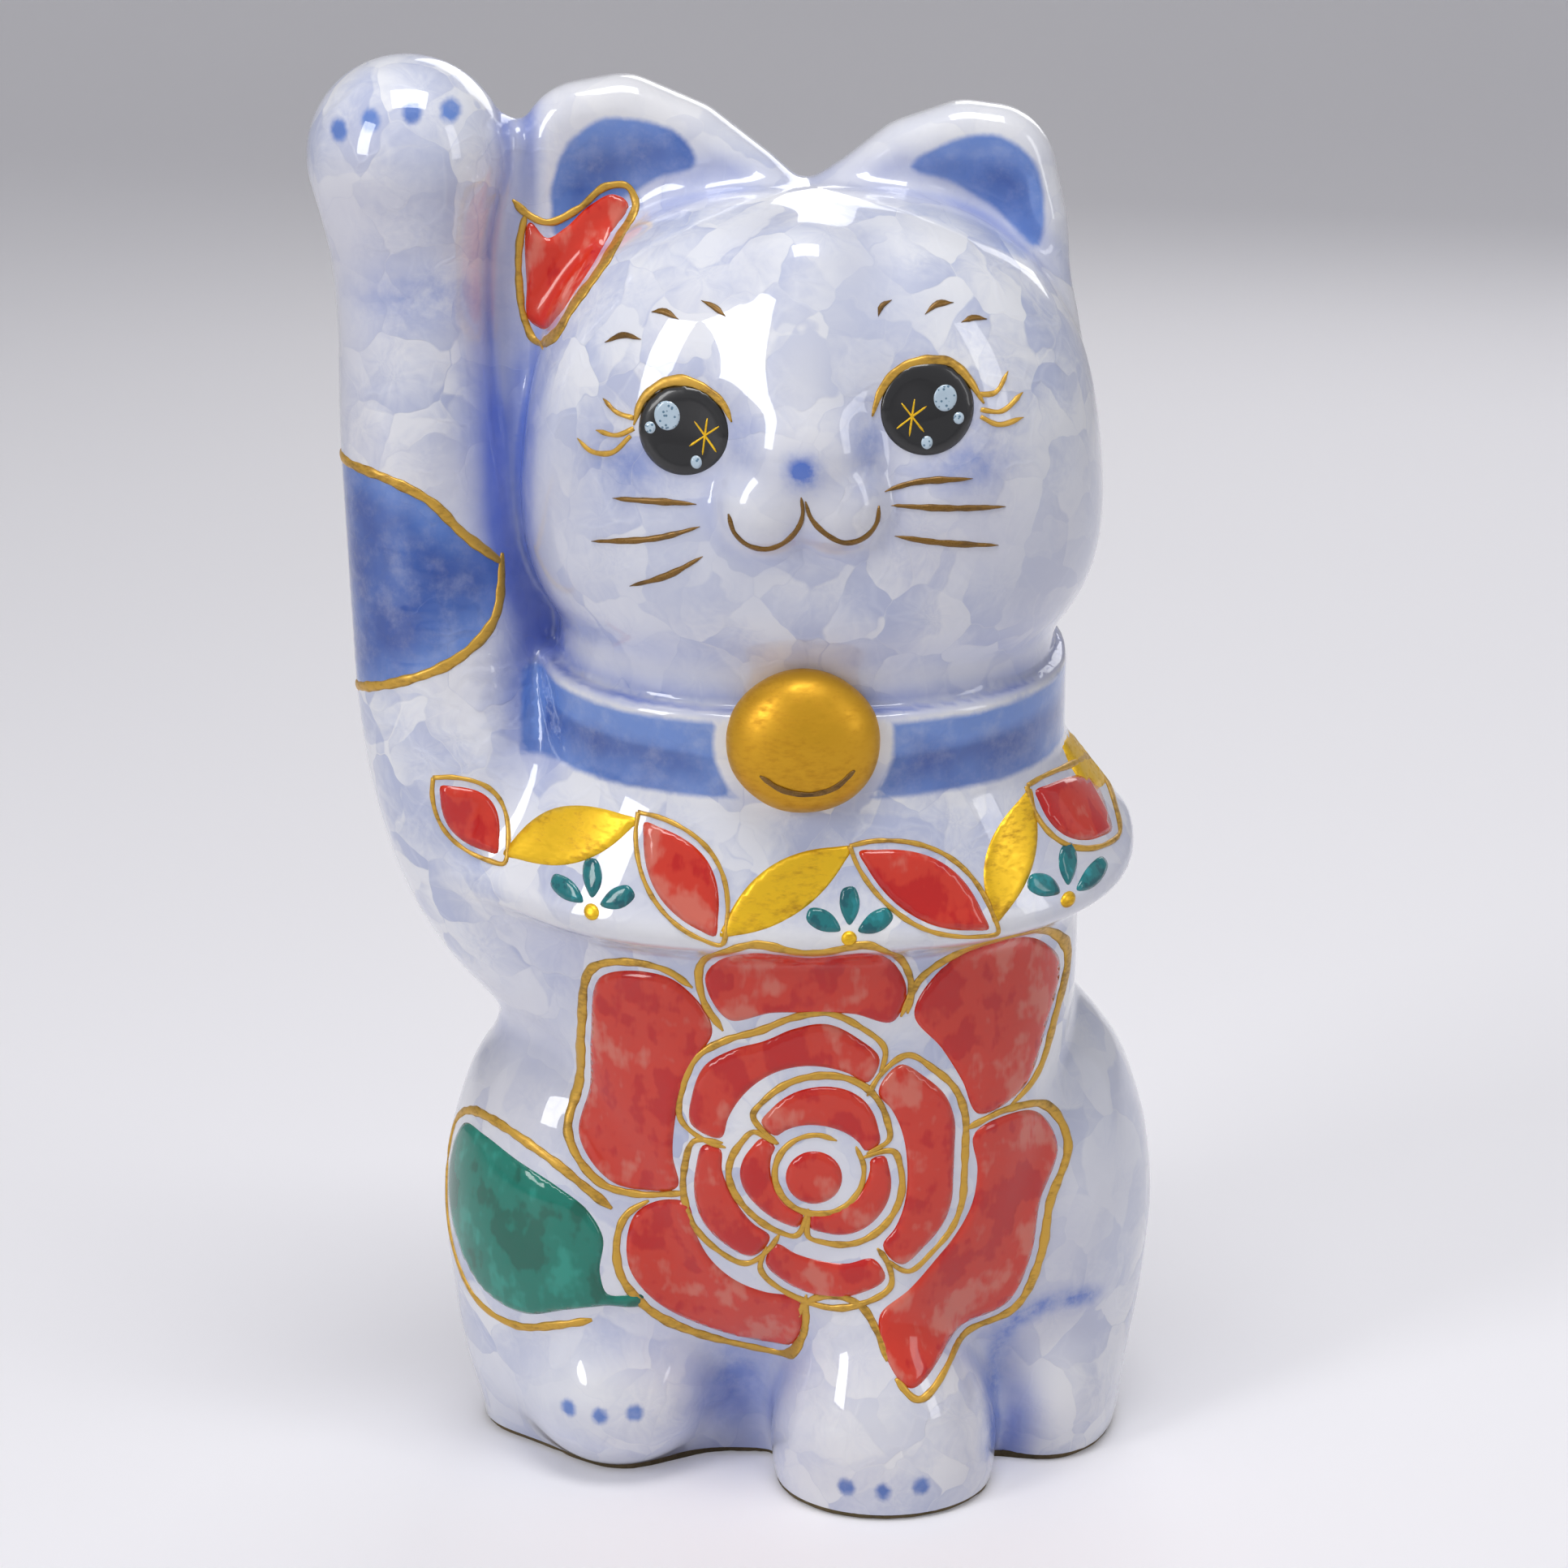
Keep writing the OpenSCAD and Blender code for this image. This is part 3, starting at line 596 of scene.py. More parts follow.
def blue_edge(p, normals):
    """Signed distance, in mm, to the edge of the crisp cobalt areas; negative inside."""
    x, y, z = p.T
    d = np.full(len(p), 9.0)
    front = normals[:, 1] < 0.25
    for dots, radius in ((PAW_DOTS, 1.4), (HIND_DOTS, 1.25), (FRONT_DOTS, 1.3)):
        for cx, cz in dots:
            near_dot = np.hypot((x - cx) * 1.12, z - cz) - radius
            d = np.where(front & (y < -4), np.minimum(d, near_dot), d)
    for outline in (EAR_BLUE_R, EAR_BLUE_L):
        ear = outline_distance(x, z, curve(outline, 1.5, closed=True))
        d = np.where(front & (y < 2.5) & (y > -12), np.minimum(d, ear), d)
    arc = np.arctan2(x - ARM_AXIS[0], -(y - ARM_AXIS[1])) * ARM_RADIUS
    patch = [*curve(ARM_TOP, 2), *curve(ARM_LOW, 2), *curve(ARM_BACK[::-1], 2)[1:-1]]
    on_arm = (x < -33) & (z > 95) & (z < 140)
    d = np.where(on_arm, np.minimum(d, outline_distance(arc, z, patch)), d)
    band = np.abs(across(y, z)) - (COLLAR_H - 1.15)
    gap = BELL_R + 1.5 - np.hypot(x - BELL[0], z - BELL[2])
    gap = np.where(y < 0, gap, -9.0)
    on_collar = (x > ARM_SEAM - 1.5) & (np.abs(across(y, z)) < COLLAR_H)
    end = ARM_SEAM + 1.6 - x
    return np.where(on_collar, np.minimum(d, np.maximum(np.maximum(band, gap), end)), d)


def blue_wash(p):
    """Soft cobalt, from 0 to about 1."""
    total = blobs(p, WASHES)
    crease = curve(FOOT_CREASE, 1.0)
    away = np.hypot(p[:, 0][:, None] - crease[:, 0], p[:, 2][:, None] - crease[:, 1]).min(1)
    total += 0.9 * np.exp(-(away / 1.5) ** 2) * (p[:, 1] < 0)
    return total


def hollowness(p, normals):
    """How far the skin folds in here, where the glaze pools."""
    near_fold = np.clip(3.0 - field(*(p + 3.0 * normals).T), 0, 3) / 2.0
    wide_fold = np.clip(8.0 - field(*(p + 8.0 * normals).T), 0, 8) / 9.0
    return np.clip(near_fold * 0.7 + wide_fold * 0.6, 0, 1)


def thin_glaze_and_highlight(p, normals):
    """How far the skin stands out here: where the glaze runs thin and white, and painted highlight along
    the ridges and on lit spots.
    """
    ridge = np.clip(field(*(p - 4.5 * normals).T) + 4.1, 0, 3) / 1.6
    return np.clip(np.maximum(ridge, blobs(p, HIGHLIGHT_AND_THIN_SPOTS)), 0, 1)


# ---- raised enamel and gold --------------------------------------------------

def front_view(uv):
    """Drawn on the front: u is x and v is z."""
    start = np.stack([uv[:, 0], np.full(len(uv), -60.0), uv[:, 1]], 1)
    return start, np.tile([0.0, 1.0, 0.0], (len(uv), 1))


def round_view(axis, radius, clear):
    """Drawn round a post from `clear` mm outside it: u is the arc from its front and v is z."""
    def view(uv):
        turn = uv[:, 0] / radius
        out = np.stack([np.sin(turn), -np.cos(turn), 0 * turn], 1)
        start = out * (radius + clear) + np.stack([axis[0] + 0 * turn, axis[1] + 0 * turn, uv[:, 1]], 1)
        return start, -out
    return view


def land(uv, view, form):
    """The points of the skin that a drawing falls on, and the normals there."""
    p, way = view(np.asarray(uv, float))
    best, best_d = p.copy(), np.full(len(p), 1e9)
    live = np.arange(len(p))
    for _ in range(40):
        d = form(*p[live].T)
        closer = np.abs(d) < best_d[live]
        best[live[closer]], best_d[live[closer]] = p[live[closer]], np.abs(d)[closer]
        p[live] += way[live] * (np.clip(d, -1.0, 12.0) * 0.85)[:, None]
        live = live[(np.abs(d) > 0.02) & (d < best_d[live] + 3.0)]
        if not len(live):
            break
    return settle(best, form)


SUNK = 0.12                         # mm, how far a film or line reaches into the glaze


def gather(shells):
    """Several shells of (points, faces) as one."""
    points, faces, count = [], [], 0
    for p, f in shells:
        points.append(p)
        faces += [tuple(int(i) + count for i in face) for face in f]
        count += len(p)
    return np.concatenate(points), faces


def film(outline, view=front_view, height=0.35, lift=0.0, edge=0.75, pitch=0.7):
    """A domed film of enamel over a closed outline."""
    rim = curve(outline, pitch * 0.75, closed=True)
    area = np.sum(rim[:, 0] * np.roll(rim[:, 1], -1) - rim[:, 1] * np.roll(rim[:, 0], -1))
    if area < 0:
        rim = rim[::-1]
    low, high = rim.min(0), rim.max(0)
    us, vs = np.meshgrid(np.arange(low[0], high[0], pitch), np.arange(low[1], high[1], pitch * 0.866))
    us = us + (np.arange(us.shape[0]) % 2)[:, None] * pitch / 2
    grid = np.stack([us.ravel(), vs.ravel()], 1)
    grid = grid[outline_distance(*grid.T, rim) < -0.4 * pitch]
    flat = np.concatenate([rim, grid])
    found = delaunay_2d_cdt([Vector(q) for q in flat], [], [list(range(len(rim)))], 1, 1e-5)
    uv = np.array([tuple(q) for q in found[0]])
    faces = found[2]
    n = len(uv)
    inner = np.clip(-outline_distance(*uv.T, rim) / edge, 0, 1)
    rise = height * np.sqrt(np.clip(1 - (1 - inner) ** 2, 0, 1)) + lift
    p, normal = land(uv, view, field)
    top = p + normal * (rise + 0.01)[:, None]
    under = p - normal * SUNK + normal * lift
    ways = {(f[i], f[(i + 1) % len(f)]) for f in faces for i in range(len(f))}
    walls = [(b, a, a + n, b + n) for a, b in sorted(ways) if (b, a) not in ways]
    below = [tuple(i + n for i in f[::-1]) for f in faces]
    return np.concatenate([top, under]), [tuple(f) for f in faces] + below + walls


ROUND = np.linspace(-1, 1, 7)       # across a line, from edge to edge
STEP = 0.45                         # mm, along a line


def line(path, width, view=front_view, height=0.22, form=field, ends=(0.35, 0.35), swell=0.0, lift=0.0):
    """One brush line: rounded across, drawn thinner at its ends."""
    mid = curve(path, STEP)
    n = len(mid)
    t = np.linspace(0, 1, n)
    length = STEP * n
    taper = 1.6 * width
    grow = np.minimum(ends[0] + t * length / taper, ends[1] + (1 - t) * length / taper)
    grow = np.minimum(1, grow)
    slow = 0.10 * np.sin(t * length * 1.1 + rng.uniform(0, 6))
    quick = 0.07 * np.sin(t * length * 2.7 + rng.uniform(0, 6))
    wobble = 1 + slow + quick
    half = width / 2 * grow * wobble * (1 - swell + swell * np.sin(math.pi * t) ** 1.2 * 1.3)
    along = np.gradient(mid, axis=0)
    along /= np.maximum(np.linalg.norm(along, axis=1), 1e-9)[:, None]
    across_it = np.stack([-along[:, 1], along[:, 0]], 1)
    places = np.concatenate([ROUND, [0.8, 0.0, -0.8]])
    uv = mid[:, None, :] + across_it[:, None, :] * (half[:, None] * places)[:, :, None]
    p, normal = land(uv.reshape(-1, 2), view, form)
    rise = np.concatenate([height * np.sqrt(np.clip(1 - ROUND ** 2, 0, 1)), [-SUNK] * 3])
    rise = (rise[None, :] * np.clip(grow, 0.5, 1)[:, None]).ravel() + lift
    p = p + normal * rise[:, None]
    m = len(places)
    faces = [(i * m + k, (i + 1) * m + k, (i + 1) * m + (k + 1) % m, i * m + (k + 1) % m)
             for i in range(n - 1) for k in range(m)]
    faces += [tuple(range(m)), tuple((n - 1) * m + k for k in reversed(range(m)))]
    return p, faces


# ---- materials ---------------------------------------------------------------

def srgb(*colour):
    """A colour as seen on a screen, as the numbers that a shader takes."""
    linear = [c / 12.92 if c <= 0.04045 else ((c + 0.055) / 1.055) ** 2.4 for c in colour]
    return (*linear, 1.0)


class Paint:
    """A material and its nodes."""

    def __init__(self, name, **sockets):
        self.material = bpy.data.materials.new(name)
        self.material.use_nodes = True
        self.tree = self.material.node_tree
        self.shader = self.tree.nodes["Principled BSDF"]
        for key, value in sockets.items():
            self.shader.inputs[key.replace("_", " ")].default_value = value
        self.place = self.add("ShaderNodeTexCoord").outputs["Object"]

    def add(self, kind, inputs=(), **settings):
        node = self.tree.nodes.new(kind)
        for key, value in settings.items():
            setattr(node, key, value)
        for key, value in dict(inputs).items():
            self.feed(node.inputs[key], value)
        return node

    def feed(self, socket, value):
        if isinstance(value, bpy.types.NodeSocket):
            self.tree.links.new(value, socket)
        else:
            socket.default_value = value

    def math(self, operation, a, b=0.0, clamp=False):
        return self.add("ShaderNodeMath", {0: a, 1: b}, operation=operation, use_clamp=clamp).outputs[0]

    def vector(self, operation, a, b=(0.0, 0.0, 0.0)):
        return self.add("ShaderNodeVectorMath", {0: a, 1: b}, operation=operation).outputs[0]

    def noise(self, size, detail=3.0, where=None, rough=0.5):
        """Soft noise from 0 to 1 whose lumps are about size mm."""
        inputs = {"Vector": where or self.place, "Scale": 1000.0 / size}
        inputs.update({"Detail": detail, "Roughness": rough})
        return self.add("ShaderNodeTexNoise", inputs).outputs["Fac"]

    def ease(self, value, start, end, low=0.0, high=1.0):
        inputs = {"Value": value, "From Min": start, "From Max": end, "To Min": low, "To Max": high}
        return self.add("ShaderNodeMapRange", inputs, interpolation_type="SMOOTHSTEP").outputs["Result"]

    def mix(self, share, a, b):
        return self.add("ShaderNodeMix", {0: share, 6: a, 7: b}, data_type="RGBA").outputs[2]

    def bump(self, height, strength, distance_mm):
        inputs = {"Height": height, "Strength": strength, "Distance": distance_mm * MM}
        return self.add("ShaderNodeBump", inputs).outputs["Normal"]

    def attribute(self, name):
        return self.add("ShaderNodeAttribute", attribute_name=name).outputs["Fac"]

    def colour(self, socket):
        self.feed(self.shader.inputs["Base Color"], socket)


CLEAR_COAT = {"Coat_Weight": 1.0, "Coat_Roughness": 0.02, "Coat_IOR": 1.6}


def glaze_material(name):
    """Crystalline pearl glaze over white porcelain, with cobalt painted under it."""
    m = Paint(name, Roughness=0.3, Specular_IOR_Level=0.3, **CLEAR_COAT)
    waves = {"Vector": m.place, "Scale": 150.0, "Detail": 2.0}
    push = m.add("ShaderNodeTexNoise", waves).outputs["Color"]
    push = m.vector("MULTIPLY", m.vector("SUBTRACT", push, (0.5, 0.5, 0.5)), (0.005, 0.005, 0.005))
    bent = m.vector("ADD", m.place, push)
    # Two sizes of crystal, each with its own shade and fan of streaks, and a painted shading that makes
    # each crystal lighter towards one side, as a tilted facet catching light.
    value = None
    for scale, weight in ((135.0, 0.6), (70.0, 0.4)):
        inputs = {"Vector": bent, "Scale": scale, "Smoothness": 0.06}
        cells = m.add("ShaderNodeTexVoronoi", inputs, feature="SMOOTH_F1")
        spread = m.vector("MULTIPLY", cells.outputs["Color"], (2.0, 2.0, 2.0))
        slant = m.vector("SUBTRACT", spread, (1.0, 1.0, 1.0))
        spoke = m.vector("SUBTRACT", bent, cells.outputs["Position"])
        own = m.vector("MULTIPLY", spread, (9.0, 9.0, 9.0))
        fan = m.vector("ADD", m.vector("NORMALIZE", spoke), own)
        streak = m.add("ShaderNodeTexNoise", {"Vector": fan, "Scale": 3.6, "Detail": 4.0})
        streak = streak.outputs["Fac"]
        # Painted shading: each crystal lighter towards one side, as if its facet were tilted to the
        # light.
        painted_facet_shade = m.add("ShaderNodeVectorMath", {0: spoke, 1: slant}, operation="DOT_PRODUCT")
        painted_facet_shade = m.math("MULTIPLY", painted_facet_shade.outputs["Value"], scale * 0.75)
        shade = m.add("ShaderNodeSeparateColor", {0: cells.outputs["Color"]}).outputs[0]
        facet = m.math("ADD", m.math("MULTIPLY", shade, 0.38), m.math("MULTIPLY", streak, 0.62))
        part = m.math("MULTIPLY", m.math("ADD", facet, painted_facet_shade), weight)
        value = part if value is None else m.math("ADD", value, part)
    inputs = {"Vector": bent, "Scale": 125.0}
    rim = m.add("ShaderNodeTexVoronoi", inputs, feature="DISTANCE_TO_EDGE")
    edges = m.ease(rim.outputs["Distance"], 0.0, 0.055, 1.0, 0.0)
    value = m.ease(value, 0.15, 0.85)
    # Some patches are crowded with crystals, others nearly plain.
    crowded = m.ease(m.noise(26.0, 2.0), 0.36, 0.62, 0.4, 1.1)
    value = m.math("ADD", m.math("MULTIPLY", m.math("SUBTRACT", value, 0.5), crowded), 0.5)
    edges = m.math("MULTIPLY", edges, crowded)
    colour = m.mix(value, srgb(0.935, 0.94, 0.965), srgb(0.735, 0.765, 0.88))
    colour = m.mix(m.math("MULTIPLY", edges, 0.16), colour, srgb(0.93, 0.94, 0.98))
    warmth = m.ease(m.noise(38.0, 2.0), 0.45, 0.75, 0.0, 0.42)
    colour = m.mix(warmth, colour, srgb(0.82, 0.80, 0.825))
    # Whiter here: thin glaze over the white porcelain, and painted highlight on ridges and lit spots.
    thin = m.math("MULTIPLY", m.attribute("thin"), 0.9, True)
    colour = m.mix(thin, colour, srgb(0.935, 0.932, 0.935))
    # Cobalt: pools in the folds, soft washes, and the crisp painted areas.
    mottle = m.noise(3.2, 4.0, rough=0.65)
    cloudy = m.noise(11.0, 3.0)
    pool = m.math("MULTIPLY", m.attribute("pool"), m.ease(cloudy, 0.25, 0.7, 0.55, 1.0))
    colour = m.mix(m.math("MULTIPLY", pool, 1.0, True), colour, srgb(0.47, 0.55, 0.84))
    wash = m.math("MULTIPLY", m.attribute("wash"), m.ease(mottle, 0.3, 0.68, 0.45, 1.15), True)
    colour = m.mix(wash, colour, srgb(0.30, 0.45, 0.80))
    fray = m.math("MULTIPLY", m.math("SUBTRACT", mottle, 0.5), 0.9)
    inside_blue = m.ease(m.math("ADD", m.attribute("blue"), fray), -0.55, 0.4, 1.0, 0.0)
    deep = m.ease(m.attribute("blue"), -5.0, -0.3, 0.85, 0.3)
    deep = m.math("ADD", deep, m.ease(cloudy, 0.3, 0.7, -0.25, 0.25))
    # The cobalt is paler where the glaze is thin and where the highlight is painted.
    deep = m.math("SUBTRACT", deep, m.ease(thin, 0.55, 0.85, 0.0, 0.5), True)
    cobalt = m.mix(deep, srgb(0.40, 0.55, 0.84), srgb(0.13, 0.29, 0.62))
    covered = m.math("MULTIPLY", inside_blue, m.ease(mottle, 0.2, 0.6, 0.82, 1.0))
    m.colour(m.mix(covered, colour, cobalt))
    relief = m.math("ADD", value, m.math("MULTIPLY", edges, 0.5))
    m.feed(m.shader.inputs["Normal"], m.bump(relief, 0.35, 0.12))
    m.feed(m.shader.inputs["Coat Normal"], m.bump(m.noise(14.0, 2.0), 0.25, 0.25))
    return m.material


def enamel_material(name, thin, middle, thick, size=7.0):
    """Fired enamel laid on with a loaded brush: thin, middle and thick tones."""
    sheen = {"Specular_IOR_Level": 0.2, "Coat_Weight": 0.8, "Coat_Roughness": 0.05}
    m = Paint(name, Roughness=0.16, **sheen)
    pools = m.noise(size, 3.0, rough=0.55)
    inputs = {"Vector": m.place, "Scale": (1.0, 1.0, 0.3), "Rotation": (0.0, 0.5, 0.0)}
    brush = m.add("ShaderNodeMapping", inputs)
    strokes = m.noise(size * 0.22, 3.0, where=brush.outputs[0])
    level = m.math("ADD", pools, m.math("MULTIPLY", m.math("SUBTRACT", strokes, 0.5), 0.28))
    colour = m.mix(m.ease(level, 0.34, 0.46), srgb(*thin), srgb(*middle))
    colour = m.mix(m.ease(level, 0.52, 0.60), colour, srgb(*thick))
    m.colour(colour)
    m.feed(m.shader.inputs["Normal"], m.bump(strokes, 0.3, 0.1))
    return m.material


def gold_material(name, light, dark, metallic, rough=0.36):
    """Burnished gold with brush streaks, worn brown where it lies thin."""
    m = Paint(name, Metallic=metallic)
    brush = m.add("ShaderNodeMapping", {"Vector": m.place, "Scale": (1.0, 1.0, 2.4)})
    streaks = m.noise(1.3, 4.0, where=brush.outputs[0], rough=0.6)
    patches = m.noise(6.0, 2.0)
    worn = m.math("MULTIPLY", streaks, 0.55)
    worn = m.math("ADD", worn, m.math("MULTIPLY", patches, 0.45))
    worn = m.ease(worn, 0.46, 0.74)
    m.colour(m.mix(worn, srgb(*light), srgb(*dark)))
    m.feed(m.shader.inputs["Roughness"], m.ease(streaks, 0.3, 0.7, rough - 0.08, rough + 0.12))
    m.feed(m.shader.inputs["Normal"], m.bump(streaks, 0.35, 0.05))
    return m.material


def clay_and_gap_shade_material(name):
    """Bare, unglazed clay, stained and gritty, and dark brown also as painted shade of the gap under the
    glazed edge.
    """
    m = Paint(name, Roughness=0.85)
    grain = m.noise(0.7, 5.0, rough=0.7)
    stain = m.noise(9.0, 3.0)
    colour = m.mix(m.ease(stain, 0.3, 0.7), srgb(0.33, 0.28, 0.17), srgb(0.45, 0.38, 0.26))
    colour = m.mix(m.ease(grain, 0.45, 0.7, 0.0, 0.5), colour, srgb(0.22, 0.18, 0.11))
    m.colour(colour)
    m.feed(m.shader.inputs["Normal"], m.bump(grain, 0.6, 0.15))
    return m.material


def speckle_material(name):
    """Pale blue enamel dots with darker specks, as the lights in the eyes."""
    m = Paint(name, Roughness=0.12, Coat_Weight=1.0, Coat_Roughness=0.03)
    spots = m.add("ShaderNodeTexVoronoi", {"Vector": m.place, "Scale": 1900.0}).outputs["Distance"]
    colour = m.mix(m.ease(spots, 0.22, 0.36), srgb(0.36, 0.50, 0.60), srgb(0.74, 0.82, 0.88))
    m.colour(colour)
    return m.material


def black_material(name):
    """Black enamel with a faintly wavy gloss."""
    m = Paint(name, Roughness=0.3, Coat_Weight=0.55, Coat_Roughness=0.02)
    film_noise = m.noise(3.0, 3.0)
    m.colour(m.mix(film_noise, srgb(0.005, 0.005, 0.01), srgb(0.03, 0.03, 0.04)))
    m.feed(m.shader.inputs["Coat Normal"], m.bump(film_noise, 0.15, 0.08))
    return m.material


GLAZE = glaze_material("pearl_glaze")
GOLD = gold_material("gold_lustre", (0.96, 0.77, 0.13), (0.72, 0.52, 0.08), 0.5)
LINE_GOLD = gold_material("gold_line", (0.82, 0.64, 0.25), (0.53, 0.39, 0.14), 0.45)
BELL_GOLD = gold_material("bell_gold", (0.82, 0.61, 0.11), (0.74, 0.53, 0.07), 0.6, 0.40)
BROWN = gold_material("brown_gold_line", (0.50, 0.36, 0.12), (0.26, 0.17, 0.06), 0.35, 0.3)
RED = enamel_material("red_enamel", (0.86, 0.43, 0.36), (0.84, 0.20, 0.11), (0.78, 0.06, 0.02))
GREEN = enamel_material("green_enamel", (0.14, 0.59, 0.52), (0.03, 0.49, 0.42), (0.0, 0.40, 0.33))
TEAL = enamel_material("teal_enamel", (0.12, 0.55, 0.58), (0.04, 0.46, 0.48), (0.01, 0.36, 0.40), 3.0)
BLACK = black_material("black_enamel")
LIGHTS = speckle_material("eye_light_enamel")
CLAY_AND_GAP_SHADE = clay_and_gap_shade_material("bare_clay")


# ---- pieces ------------------------------------------------------------------

def put(name, data):
    """A new object in the scene."""
    made = bpy.data.objects.new(name, data)
    bpy.context.scene.collection.objects.link(made)
    return made


def piece(name, points, faces, material, slot, nodes=(), normals=None, **layers):
    """A closed mesh in mm, riding on the root body; layers are numbers at each point."""
    mesh = bpy.data.meshes.new(name)
    mesh.from_pydata((np.asarray(points) * MM).tolist(), [], [tuple(int(i) for i in f) for f in faces])
    for key, values in layers.items():
        layer = mesh.attributes.new(key, "FLOAT", "POINT")
        layer.data.foreach_set("value", np.asarray(values, np.float32))
    mesh.shade_smooth()
    if normals is not None:
        mesh.normals_split_custom_set_from_vertices(normals.tolist())
    mesh.materials.append(material)
    made = put(name, mesh)
    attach(made, "root")
    if nodes:
        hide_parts(*nodes)


def circle(centre, radius, n=40, stretch=1.0):
    """Points round a circle; stretch makes it taller."""
    return [(centre[0] + radius * math.cos(a), centre[1] + radius * stretch * math.sin(a))
            for a in np.linspace(0, 2 * math.pi, n, endpoint=False)]


def build_castings():
    """Every casting's skin, with the layers that its glaze is painted from."""
    points, triangles, quads = skin_mesh()
    halves = [quads[:, [0, 1, 2]], quads[:, [0, 2, 3]]]
    faces = np.concatenate([triangles.reshape(-1, 3), *halves]).astype(np.int64)
    points, _ = settle(points)
    points, faces, owner = castings(points, faces)
    used, number = np.unique(faces, return_inverse=True)
    points, faces = points[used], number.reshape(-1, 3)
    normals = outward(points)
    # The "thin" layer holds both the thin glaze and the painted highlight.
    layers = {"pool": hollowness(points, normals), "thin": thin_glaze_and_highlight(points, normals),
              "blue": blue_edge(points, normals), "wash": blue_wash(points)}
    for name in dict.fromkeys(owner):
        mine = faces[owner == name]
        kept = np.unique(mine)
        local = np.searchsorted(kept, mine)
        p, f, n = shell(points[kept], local, normals[kept])
        values = {k: np.tile(v[kept], 2) for k, v in layers.items()}
        slot = "blue_glaze" if name == "collar_band" else "pearl_glaze"
        piece(name + "_skin", p, f, GLAZE, slot, [name], n, **values)


FOOT_MIDDLE = (2, 3)                # x, y that the foot's rim is seen from
VENT = (2, 16)
VENT_R = 1.5


def build_foot():
    """The bare foot: a thin plate that follows the skin's lower edge, with its vent."""
    fx, fy = FOOT_MIDDLE
    turn = np.linspace(0, 2 * math.pi, 260, endpoint=False)
    reach = np.arange(60.0, 12.0, -0.4)
    x = fx + np.cos(turn)[:, None] * reach
    y = fy + np.sin(turn)[:, None] * reach
    first = np.argmax(field(x, y, 0 * x + FOOT_H) < 0, axis=1)
    edge = reach[first]
    edge = (np.roll(edge, 1) + 2 * edge + np.roll(edge, -1)) / 4
    rows = [(0.0, 0.55), (0.25, 0.12), (FOOT_H, 0.0), (FOOT_H + 0.5, 0.9)]     # height, inset
    n = len(turn)
    vent = np.array(circle(VENT, VENT_R, 32))
    levels = []
    for z, inset in rows:
        out = edge - inset
        levels.append(np.stack([fx + np.cos(turn) * out, fy + np.sin(turn) * out, 0 * turn + z], 1))
        levels.append(np.concatenate([vent, np.full((len(vent), 1), z)], 1))
    points = np.concatenate(levels)
    m = n + len(vent)
    faces = []
    for low in range(0, (len(rows) - 1) * m, m):
        high = low + m
        faces += [(low + i, low + (i + 1) % n, high + (i + 1) % n, high + i) for i in range(n)]
    last = (len(rows) - 1) * m
    hole = [(n + (i + 1) % len(vent), n + i) for i in range(len(vent))]
    faces += [(a, b, last + b, last + a) for a, b in hole]
    # The flat faces, below and above, without what lies beyond the rim or in the vent.
    for k, flip in ((0, True), (len(rows) - 1, False)):
        flat = [Vector(q) for q in points[k * m:(k + 1) * m, :2]]
        found = delaunay_2d_cdt(flat, [], [list(range(n))] + [list(range(n, m))], 0, 1e-6)
        for f in found[2]:
            middle = sum((found[0][i] for i in f), Vector((0, 0))) / 3
            ring_at = np.hypot(middle.x - fx, middle.y - fy)
            along = math.atan2(middle.y - fy, middle.x - fx) % (2 * math.pi)
            beyond = ring_at > np.interp(along, turn, edge - rows[k][1], period=2 * math.pi)
            corners = [found[3][i][0] for i in f]
            if beyond or min(corners) >= n:
                continue
            corners = [k * m + i for i in corners]
            faces.append(tuple(reversed(corners)) if flip else tuple(corners))
    used = sorted({i for f in faces for i in f})
    number = {v: i for i, v in enumerate(used)}
    faces = [[number[i] for i in f] for f in faces]
    # Its dark colour is the bare clay and the painted shade of the gap under the glazed edge.
    piece("foot_slab_plate", points[used], faces, CLAY_AND_GAP_SHADE, "bare_clay", ["foot_slab"])


BELL_RADII = (BELL_R, 5.4, BELL_R - 0.5)


def bell_form(x, y, z):
    return ellipsoid(x, y, z, BELL, BELL_RADII)


def build_bell():
    """The bell, a flattened ball with faint dents, and the line of its slot."""
    rows, columns = 56, 96
    points = [(0.0, 0.0, 1.0)]
    for i in range(1, rows):
        a = math.pi * i / rows
        points += [(math.sin(a) * math.sin(b), -math.sin(a) * math.cos(b), math.cos(a))
                   for b in np.linspace(0, 2 * math.pi, columns, endpoint=False)]
    points.append((0.0, 0.0, -1.0))
    unit = np.array(points)
    x, _, z = unit.T
    dent = 1 + 0.006 * np.sin(5 * x + 2 * z) + 0.005 * np.cos(7 * z - 3 * x)
    p = unit * dent[:, None] * BELL_RADII + BELL
    faces = [(0, 1 + (k + 1) % columns, 1 + k) for k in range(columns)]
    for i in range(rows - 2):
        a, b = 1 + i * columns, 1 + (i + 1) * columns
        faces += [(a + k, a + (k + 1) % columns, b + (k + 1) % columns, b + k) for k in range(columns)]
    last = len(points) - 1
    faces += [(last, last - columns + k, last - columns + (k + 1) % columns) for k in range(columns)]
    piece("bell_ball", p, faces, BELL_GOLD, "gold_lustre", ["bell"])
    smile = [(-5.2, -3.2), (-2.6, -4.9), (0.6, -5.5), (3.7, -4.7), (6.1, -2.6)]
    path = [(BELL[0] + u, BELL[2] + v) for u, v in smile]
    slot = line(path, 0.7, form=bell_form, height=0.16, lift=0.06)
    piece("bell_mouth_line", *slot, BROWN, "brown_line")


